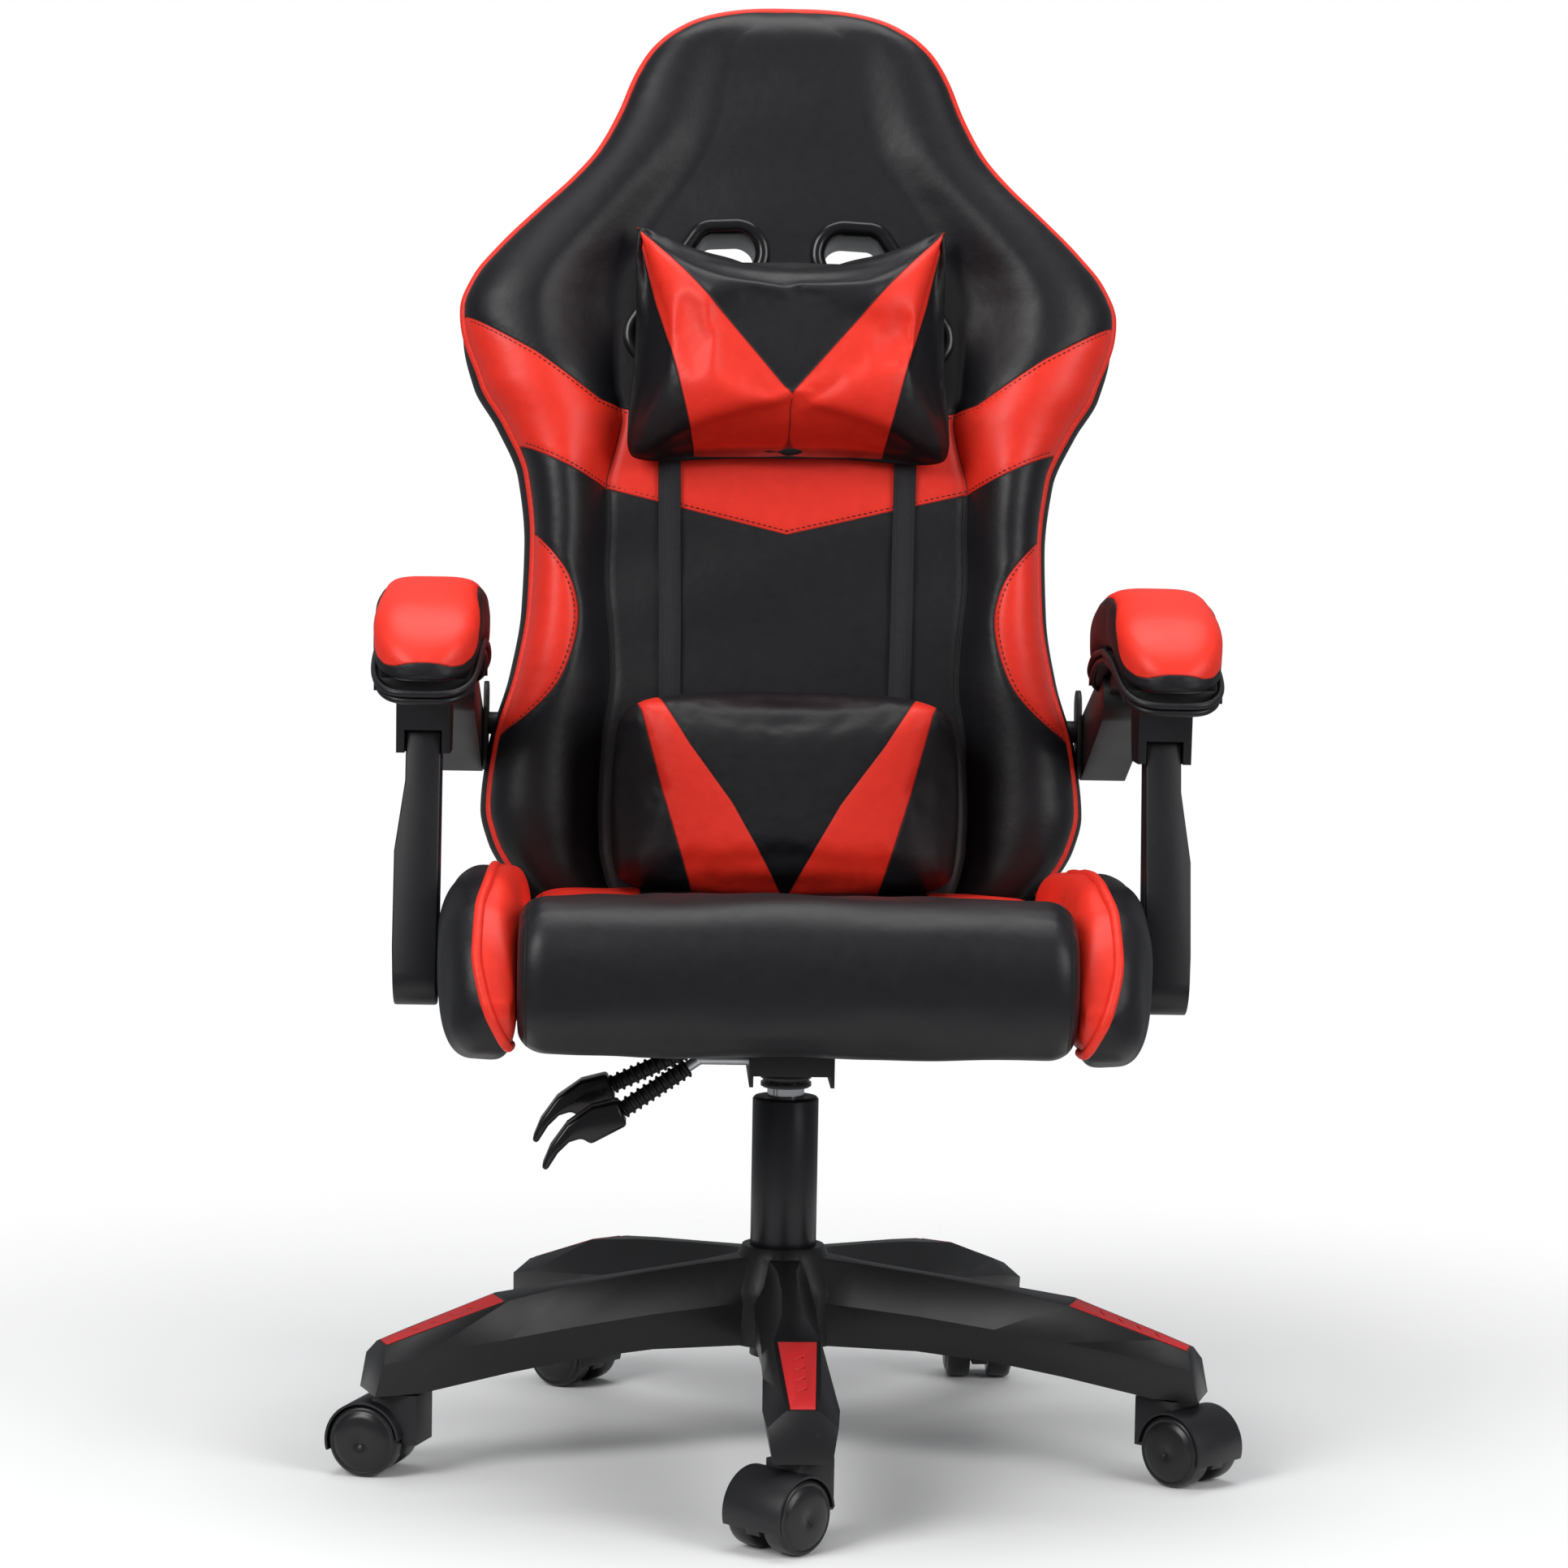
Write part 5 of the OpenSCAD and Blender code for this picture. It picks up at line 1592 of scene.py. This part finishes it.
@dataclass
class SeatBolster:
    """A side bolster of the seat: red within the piping, black outside it."""

    low: np.ndarray = field(default_factory=lambda: corners_of("seat_bolster_right")[0])
    high: np.ndarray = field(default_factory=lambda: corners_of("seat_bolster_right")[1])
    tops: tuple = ((0, 0.38), (0.02, 0.53), (0.06, 0.7), (0.13, 0.87), (0.24, 0.99), (0.33, 1.0), (0.5, 0.97),
                   (0.7, 0.91), (0.94, 0.84), (1, 0.78))
    lows: tuple = ((0, 0.26), (0.02, 0.13), (0.06, 0.05), (0.14, 0.0), (1, 0.0))
    outs: tuple = ((0, 0.45), (0.02, 0.62), (0.06, 0.78), (0.14, 0.93), (0.3, 1.0), (0.92, 1.0), (1, 0.93))
    seam: tuple = ((0, -3), (4, 0), (11, 4), (26, 12), (40, 18.5), (61, 25), (81, 28.5), (109, 28), (126, 23),
                   (140, 19))

    def section(self, t: float, count: int = 84) -> np.ndarray:
        """A ring at t, from the front (0) to the rear (1), as x, z rows.

        Args:
            t: The station.
            count: Points in the ring.

        Returns:
            The rows.
        """
        width = (self.high[0] - self.low[0]) * float(smooth(t, self.outs))
        tall = self.high[2] - self.low[2]
        low = self.low[2] + tall * float(smooth(t, self.lows))
        top = self.low[2] + tall * float(smooth(t, self.tops))
        lean = float(smooth(t, ((0, 0.56), (0.3, 0.52), (0.7, 0.36), (1, 0.36))))
        middle = self.low[0] + width * lean
        angle = np.linspace(0, 2 * math.pi, count, endpoint=False)
        c, n = np.cos(angle), np.sin(angle)
        flat = np.where(c < 0, 0.45, 0.8)
        x = middle + np.where(c < 0, width * lean, width * (1 - lean)) * np.sign(c) * np.abs(c) ** flat
        z = (low + top) / 2 + (top - low) / 2 * np.sign(n) * np.abs(n) ** 0.8
        return np.stack([x, z], axis=1)

    def within(self, ring: np.ndarray) -> np.ndarray:
        """Distance inside the red face, for each point of a ring."""
        return smooth(ring[:, 1] - self.low[2], self.seam) - (ring[:, 0] - self.low[0])

    def crossings(self, ring: np.ndarray) -> tuple[np.ndarray, np.ndarray]:
        """Where the seam crosses a ring, lowest and highest.

        Args:
            ring: Rows of x, z.

        Returns:
            The two crossings.
        """
        red = self.within(ring)
        other = np.roll(ring, -1, axis=0)
        after = np.roll(red, -1)
        cuts = [ring[j] + (other[j] - ring[j]) * red[j] / (red[j] - after[j])
                for j in range(len(ring)) if red[j] * after[j] < 0]
        cuts = sorted(cuts, key=lambda cut: cut[1])
        return cuts[0], cuts[-1]

    def build(self, side: str, sign: int) -> None:
        """Builds one bolster with its piping.

        Args:
            side: Left or right, as in the names.
            sign: The side's sign on x.
        """
        nose = np.array([0, 0.001, 0.004, 0.009, 0.016, 0.025])
        tail = 0.96 + 0.04 * np.array([0.0, 0.35, 0.7, 0.9, 1.0])
        stations = np.concatenate([nose, np.linspace(0.035, 0.2, 22), np.linspace(0.21, 0.955, 80), tail])
        y0, y1 = self.low[1], self.high[1]
        rings, low, high = [], [], []
        for t in stations:
            ring = self.section(float(t))
            end = max(0.0, (t - 0.96) / 0.04)
            round_off = 1 - 0.16 * (1 - math.sqrt(max(0.0, 1 - end**2))) - 0.3 * max(0.0, 1 - t / 0.02) ** 2
            middle = ring.mean(axis=0)
            ring = middle + (ring - middle) * round_off
            y = y0 + t * (y1 - y0)
            rings.append([(x, y, z) for x, z in ring])
            below, above = self.crossings(ring)
            if t < 0.1:
                low.append((below[0], y, below[1]))
            high.append((above[0], y, above[1]))
        rings = np.array(rings)
        at = rings.reshape(-1, 3)
        bulge = ease(at[:, 0], self.low[0] + 8, self.high[0])
        red = self.within(at[:, [0, 2]])
        at[:, 2] += 1.2 * ripple(at[:, [0, 1]], 75, 31)
        at[:, 0] += 1.0 * bulge * ripple(at[:, [1, 2]], 60, 32)
        at[:, 0] = np.clip(at[:, 0], self.low[0], self.high[0] + 0.4)
        rings = at.reshape(rings.shape) * [sign, 1, 1]
        marks = red.reshape(rings.shape[:2])
        piece = loft(f"bolster_{side}", rings, {"red": marks, "fold": np.full(marks.shape, FAR)})
        fit(piece, "seat", "cover", f"seat_bolster_{side}")
        rise = np.linspace(low[0][2], high[0][2], 9)[1:-1]
        across = [(self.low[0] + float(smooth(z - self.low[2], self.seam)), y0, z) for z in rise]
        path = np.array([*low[::-1], *across, *high]) * [sign, 1, 1]
        fit(tube(f"bolster_piping_{side}", soften(resample(path, 3), 3), 3.8, 12), "seat", "piping")


# ---- arms ----

@dataclass
class ArmRest:
    """An armrest: a padded top on a moulded tray, carried by the post and the rear leg."""

    sign: int = 1
    rim: float = 2.6
    seam_side: float = 0.84
    seam_nose: float = 0.24
    sag: float = 0.0016
    tall: float = 46.0

    def __post_init__(self) -> None:
        """Reads the pad's place from the frame."""
        self.low, self.high = corners_of("arm_pad_right")
        self.middle = (self.low + self.high) / 2
        self.half = (self.high[:2] - self.low[:2]) / 2
        self.base = self.high[2] - self.tall

    def arch(self, y: np.ndarray) -> np.ndarray:
        """Height of the pad's underside."""
        return self.base - self.sag * (np.asarray(y) - self.middle[1]) ** 2

    def plan(self, t: np.ndarray, grow: float = 0.0) -> np.ndarray:
        """The tray's outline in plan: a long rounded loop.

        Args:
            t: Angles round the loop.
            grow: How far it stands out.

        Returns:
            Rows of x, y.
        """
        power = 0.42
        c, n = np.cos(t), np.sin(t)
        taper = 1 - 0.1 * np.abs(n) ** 6
        x = self.middle[0] + (self.half[0] + grow) * np.sign(c) * np.abs(c) ** power * taper
        y = self.middle[1] + (self.half[1] + grow) * np.sign(n) * np.abs(n) ** (power * 0.75)
        return np.stack([x, y], axis=1)

    def pad(self, side: str) -> None:
        """The padded top: a red panel that wraps over the front, above a gathered black band.

        Args:
            side: Left or right, as in the names.
        """
        angle = np.linspace(0, math.pi, 44)
        along = self.middle[1] - self.half[1] * np.cos(angle)
        around = np.linspace(0, 2 * math.pi, 72, endpoint=False)
        rings, reds = [], []
        for y, a in zip(along, angle):
            end = abs(math.cos(a))
            width = (self.half[0] - 0.5) * (1 - 0.12 * end**6) * (1 - end**9) ** 0.5
            tall = self.tall * (1 - 0.22 * end**4) * (1 - end**12) ** 0.5
            width, tall = max(width, 1.0), max(tall, 1.5)
            foot = float(self.arch(y)) + 0.5 * (self.tall * (1 - 0.22 * end**4) - tall) * 0.8
            c, n = np.cos(around), np.sin(around)
            x = self.middle[0] + width * np.sign(c) * np.abs(c) ** 0.55
            z = foot + tall / 2 + tall / 2 * np.sign(n) * np.abs(n) ** np.where(n > 0, 0.72, 0.35)
            front = float(ease(self.middle[1] - y, 0.3 * self.half[1], 0.93 * self.half[1]))
            line = foot + self.tall * (self.seam_side - (self.seam_side - self.seam_nose) * front)
            line -= 6 * float(ease(y - self.middle[1], 0.5 * self.half[1], self.half[1]))
            red = z - line
            rings.append(np.stack([x, np.full(72, y), z], axis=1))
            reds.append(red)
        rings, reds = np.array(rings), np.array(reds)
        at = rings.reshape(-1, 3)
        red = reds.ravel()
        pleat = np.sin(at[:, 1] * 2 * math.pi / 8.5 + 2.4 * ripple(at[:, :2], 45, 41))
        band = np.exp(-np.clip(-red, 0, None) / 9) * (red < 0)
        grow = 0.9 * pleat * band - 1.4 * np.exp(-(red / 2.2) ** 2)
        out = np.sign(at[:, 0] - self.middle[0])
        at[:, 0] += out * grow * np.clip(np.abs(at[:, 0] - self.middle[0]) / 20, 0, 1)
        at[:, 2] += 0.6 * ripple(at[:, :2], 50, 42) * (red > 4)
        piece = loft(f"arm_cushion_{side}", at.reshape(rings.shape) * [self.sign, 1, 1],
                     {"red": reds, "fold": np.full(reds.shape, FAR)})
        swell(piece, 3, 3, frames=8, stiff=25, bend=3)
        refine(piece)
        fit(piece, f"arm_{side}", "cover", f"arm_pad_{side}")

    def tray(self, side: str) -> None:
        """Two rolled lips round the tray, under the pad.

        Args:
            side: Left or right, as in the names.
        """
        turn = np.linspace(0, 2 * math.pi, 161)
        for number, (grow, drop) in enumerate(((-2.2, 1.2), (-4.4, 7.4))):
            flat = self.plan(turn, grow)
            path = np.column_stack([flat[:, 0] * self.sign, flat[:, 1], self.arch(flat[:, 1]) - drop])
            piece = tube(f"tray_lip_{side}_{number + 1}", resample(path, 4), self.rim, 12)
            fit(piece, f"arm_{side}", "plastic")

    def build(self, side: str) -> None:
        """Builds one armrest.

        Args:
            side: Left or right, as in the names.
        """
        self.pad(side)
        self.tray(side)
        eased(f"arm_body_{side}", "plastic", 1.6)
        eased(f"post_{side}", "plastic", 2.2)


# ---- base, column, casters ----

@dataclass
class StarBase:
    """The moulded base, its inserts and the gas lift."""

    def build(self) -> None:
        """Builds the base and the column."""
        eased("star_base", "base", 1.5, 30)
        eased("leg_inserts", "insert", 0.4, 30)
        for node, finish in (("lift_tube", "column"), ("guide_bush", "plastic"), ("gas_cylinder", "chrome"),
                             ("taper_cup", "gloss"), ("mechanism_plate", "powder")):
            eased(node, finish, 0.5)
        for node in ("thrust_bearing", "piston_rod", "valve_pin"):
            paint_node(node, "steel")


@dataclass
class Casters:
    """Five twin-wheel casters."""

    radius: float = 26.5
    width: float = 22.0
    gap: float = 7.0

    def wheel(self, number: int, letter: str) -> None:
        """One wheel: rounded tread, stepped disc and hub dimple.

        Args:
            number: The caster's number.
            letter: Which of its two wheels.
        """
        node = f"wheel_{letter}_{number}"
        centre = corners_of(node).mean(axis=0)
        axle = joint_place(f"{node}_spin")
        axis = np.array(JOINTS[f"{node}_spin"]["axis"])
        out = axis * np.sign((centre - axle) @ axis)
        radius, width = self.radius, self.width
        profile = [(4, 0.4), (radius - 2.2, 0.4), (radius - 0.8, 1.0), (radius, 2.6), (radius, width - 7.5),
                   (radius - 0.5, width - 5.2), (radius - 2.0, width - 3.4), (radius - 3.4, width - 3.0),
                   (radius - 3.9, width - 3.6), (radius - 4.6, width - 3.4), (radius - 5.6, width - 2.3),
                   (radius - 9, width - 1.2), (radius - 15, width - 0.5), (3.4, width - 0.2),
                   (2.6, width - 0.9), (0.6, width - 1.0)]
        fit(lathe(f"{node}_tyre", profile, axle + out * self.gap, out), node, "wheel", node)

    def build(self) -> None:
        """Builds every caster."""
        for number in range(1, 6):
            eased(f"caster_hood_{number}", "plastic", 1.2)
            paint_node(f"caster_pins_{number}", "steel")
            for letter in "ab":
                self.wheel(number, letter)


@dataclass
class Levers:
    """The height and recline levers with corrugated sleeves and hooked paddles."""

    rib: float = 5.2
    sleeve: float = 7.5

    def build(self) -> None:
        """Builds both levers."""
        for name in ("height_lever", "recline_lever"):
            paint_node(f"{name}_rod", "steel")
            low, high = corners_of(f"{name}_boot")
            y = (low[1] + high[1]) / 2
            start = np.array([high[0] - 5, y, high[2] - 6.5])
            end = np.array([low[0] + 5, y, low[2] + 6.5])
            path = resample(np.array([start, end]), self.rib)
            ribs = ring_run(f"{name}_ribs", path, self.rib, self.sleeve, 4.6, "rubber")
            fit(ribs, name, "rubber", f"{name}_boot")
            fit(tube(f"{name}_sleeve", path, self.sleeve - 1.8, 20), name, "rubber")
            eased(f"{name}_handle", "gloss", 2.4, 35)


@dataclass
class Hardware:
    """Frames, plates, bolts and hinge covers."""

    def build(self) -> None:
        """Dresses the hardware."""
        for node in ("seat_frame", "back_frame"):
            paint_node(node, "powder")
        eased("arm_hangers", "powder", 0.6)
        for node in ("mechanism_bolts", "hinge_pins"):
            paint_node(node, "steel")
        for side in SIDES:
            eased(f"hinge_cover_{side}", "plastic", 2.5)


# ---- studio ----

@dataclass
class Studio:
    """Pale floor, white surround, soft lamps and the camera."""

    distance: float = 3200.0
    height: float = 737.2
    turn: float = 0.0328
    pitch: float = 0.0723
    roll: float = 0.0179
    focal: float = 5253.9
    frame: float = 1932.0
    off_centre: float = 9.0
    sky: float = 0.24
    floor_radius: float = 2500.0
    lamps: tuple = (("key", (-2.3, -2.4, 2.5), (0, 0, 0.7), (1.6, 2.2), 95),
                    ("fill", (2.5, -2.2, 1.9), (0, 0, 0.7), (1.6, 2.2), 60),
                    ("crown", (0.0, 0.3, 3.4), (0, 0, 0.5), (2.4, 2.0), 60))

    def camera(self) -> None:
        """Places the camera."""
        data = bpy.data.cameras.new("camera")
        data.sensor_width = 36
        data.sensor_fit = "HORIZONTAL"
        data.lens = self.focal / self.frame * data.sensor_width
        data.shift_x = -self.off_centre / self.frame
        cp, sp = math.cos(self.pitch), math.sin(self.pitch)
        ct, st = math.cos(self.turn), math.sin(self.turn)
        ahead = Vector((st * cp, ct * cp, -sp))
        right = Vector((ct, -st, 0))
        up = right.cross(ahead)
        cr, sr = math.cos(self.roll), math.sin(self.roll)
        x, y = right * cr + up * sr, up * cr - right * sr
        place = Matrix((x, y, -ahead)).transposed().to_4x4()
        place.translation = Vector((-self.distance * st, -self.distance * ct, self.height)) * MM
        camera = bpy.data.objects.new("camera", data)
        camera.matrix_world = place
        bpy.context.scene.collection.objects.link(camera)
        bpy.context.scene.camera = camera

    def lamp(self, name: str, place: Sequence[float], aim: Sequence[float], size: Sequence[float],
             power: float) -> None:
        """Adds a soft rectangular lamp.

        Args:
            name: The lamp's name.
            place: Where it is, in metres.
            aim: What it points at, in metres.
            size: Its width and height.
            power: Its power in watts.
        """
        data = bpy.data.lights.new(name, "AREA")
        data.shape = "RECTANGLE"
        data.size, data.size_y = size
        data.energy = power
        lamp = bpy.data.objects.new(name, data)
        lamp.location = place
        lamp.rotation_euler = (Vector(aim) - Vector(place)).to_track_quat("-Z", "Y").to_euler()
        bpy.context.scene.collection.objects.link(lamp)

    def surround(self) -> None:
        """White to the eye, a dim even sky to the object."""
        world = bpy.data.worlds.new("studio")
        bpy.context.scene.world = world
        world.use_nodes = True
        tree = world.node_tree
        tree.nodes.clear()
        seen = tree.nodes.new("ShaderNodeBackground")
        lit = tree.nodes.new("ShaderNodeBackground")
        seen.inputs["Color"].default_value = (1, 1, 1, 1)
        lit.inputs["Color"].default_value = (0.95, 0.97, 1, 1)
        lit.inputs["Strength"].default_value = self.sky
        path = tree.nodes.new("ShaderNodeLightPath")
        mix = tree.nodes.new("ShaderNodeMixShader")
        end = tree.nodes.new("ShaderNodeOutputWorld")
        tree.links.new(path.outputs["Is Camera Ray"], mix.inputs[0])
        tree.links.new(lit.outputs[0], mix.inputs[1])
        tree.links.new(seen.outputs[0], mix.inputs[2])
        tree.links.new(mix.outputs[0], end.inputs["Surface"])

    def floor(self) -> None:
        """A pale floor that fades into the surround."""
        shader = Shader("studio_floor")
        place = shader.place()
        far = shader.node("ShaderNodeVectorMath", {"operation": "LENGTH"}, {0: place}, "Value")
        matt = shader.node("ShaderNodeBsdfPrincipled", None,
                           {"Base Color": (0.93, 0.93, 0.93, 1), "Roughness": 0.6, "Specular IOR Level": 0.2})
        clear = shader.node("ShaderNodeBsdfTransparent")
        fade = shader.node("ShaderNodeMixShader", None, {0: far.rise(0.45, 1.25), 1: matt, 2: clear})
        shader.node_output(fade)
        angle = np.linspace(0, 2 * math.pi, 96, endpoint=False)
        ring = np.column_stack([self.floor_radius * np.cos(angle), self.floor_radius * np.sin(angle),
                                np.full(96, -0.2)])
        piece = make_mesh("floor", ring, [tuple(range(96))])
        piece.data.materials.append(shader.material)

    def build(self) -> None:
        """Sets up the studio."""
        self.camera()
        self.surround()
        self.floor()
        for lamp in self.lamps:
            self.lamp(*lamp)
        bpy.context.scene.view_settings.view_transform = "Standard"


def main() -> None:
    """Builds the chair round the frame, in order."""
    logging.basicConfig(level=logging.INFO, format="%(name)s: %(message)s")
    Studio().build()
    BackRest().build()
    build_pillows()
    SeatCushion().build()
    for side, sign in SIDES.items():
        SeatBolster().build(side, sign)
        ArmRest(sign).build(side)
    StarBase().build()
    Casters().build()
    Levers().build()
    Hardware().build()


if __name__ == "__main__":
    main()
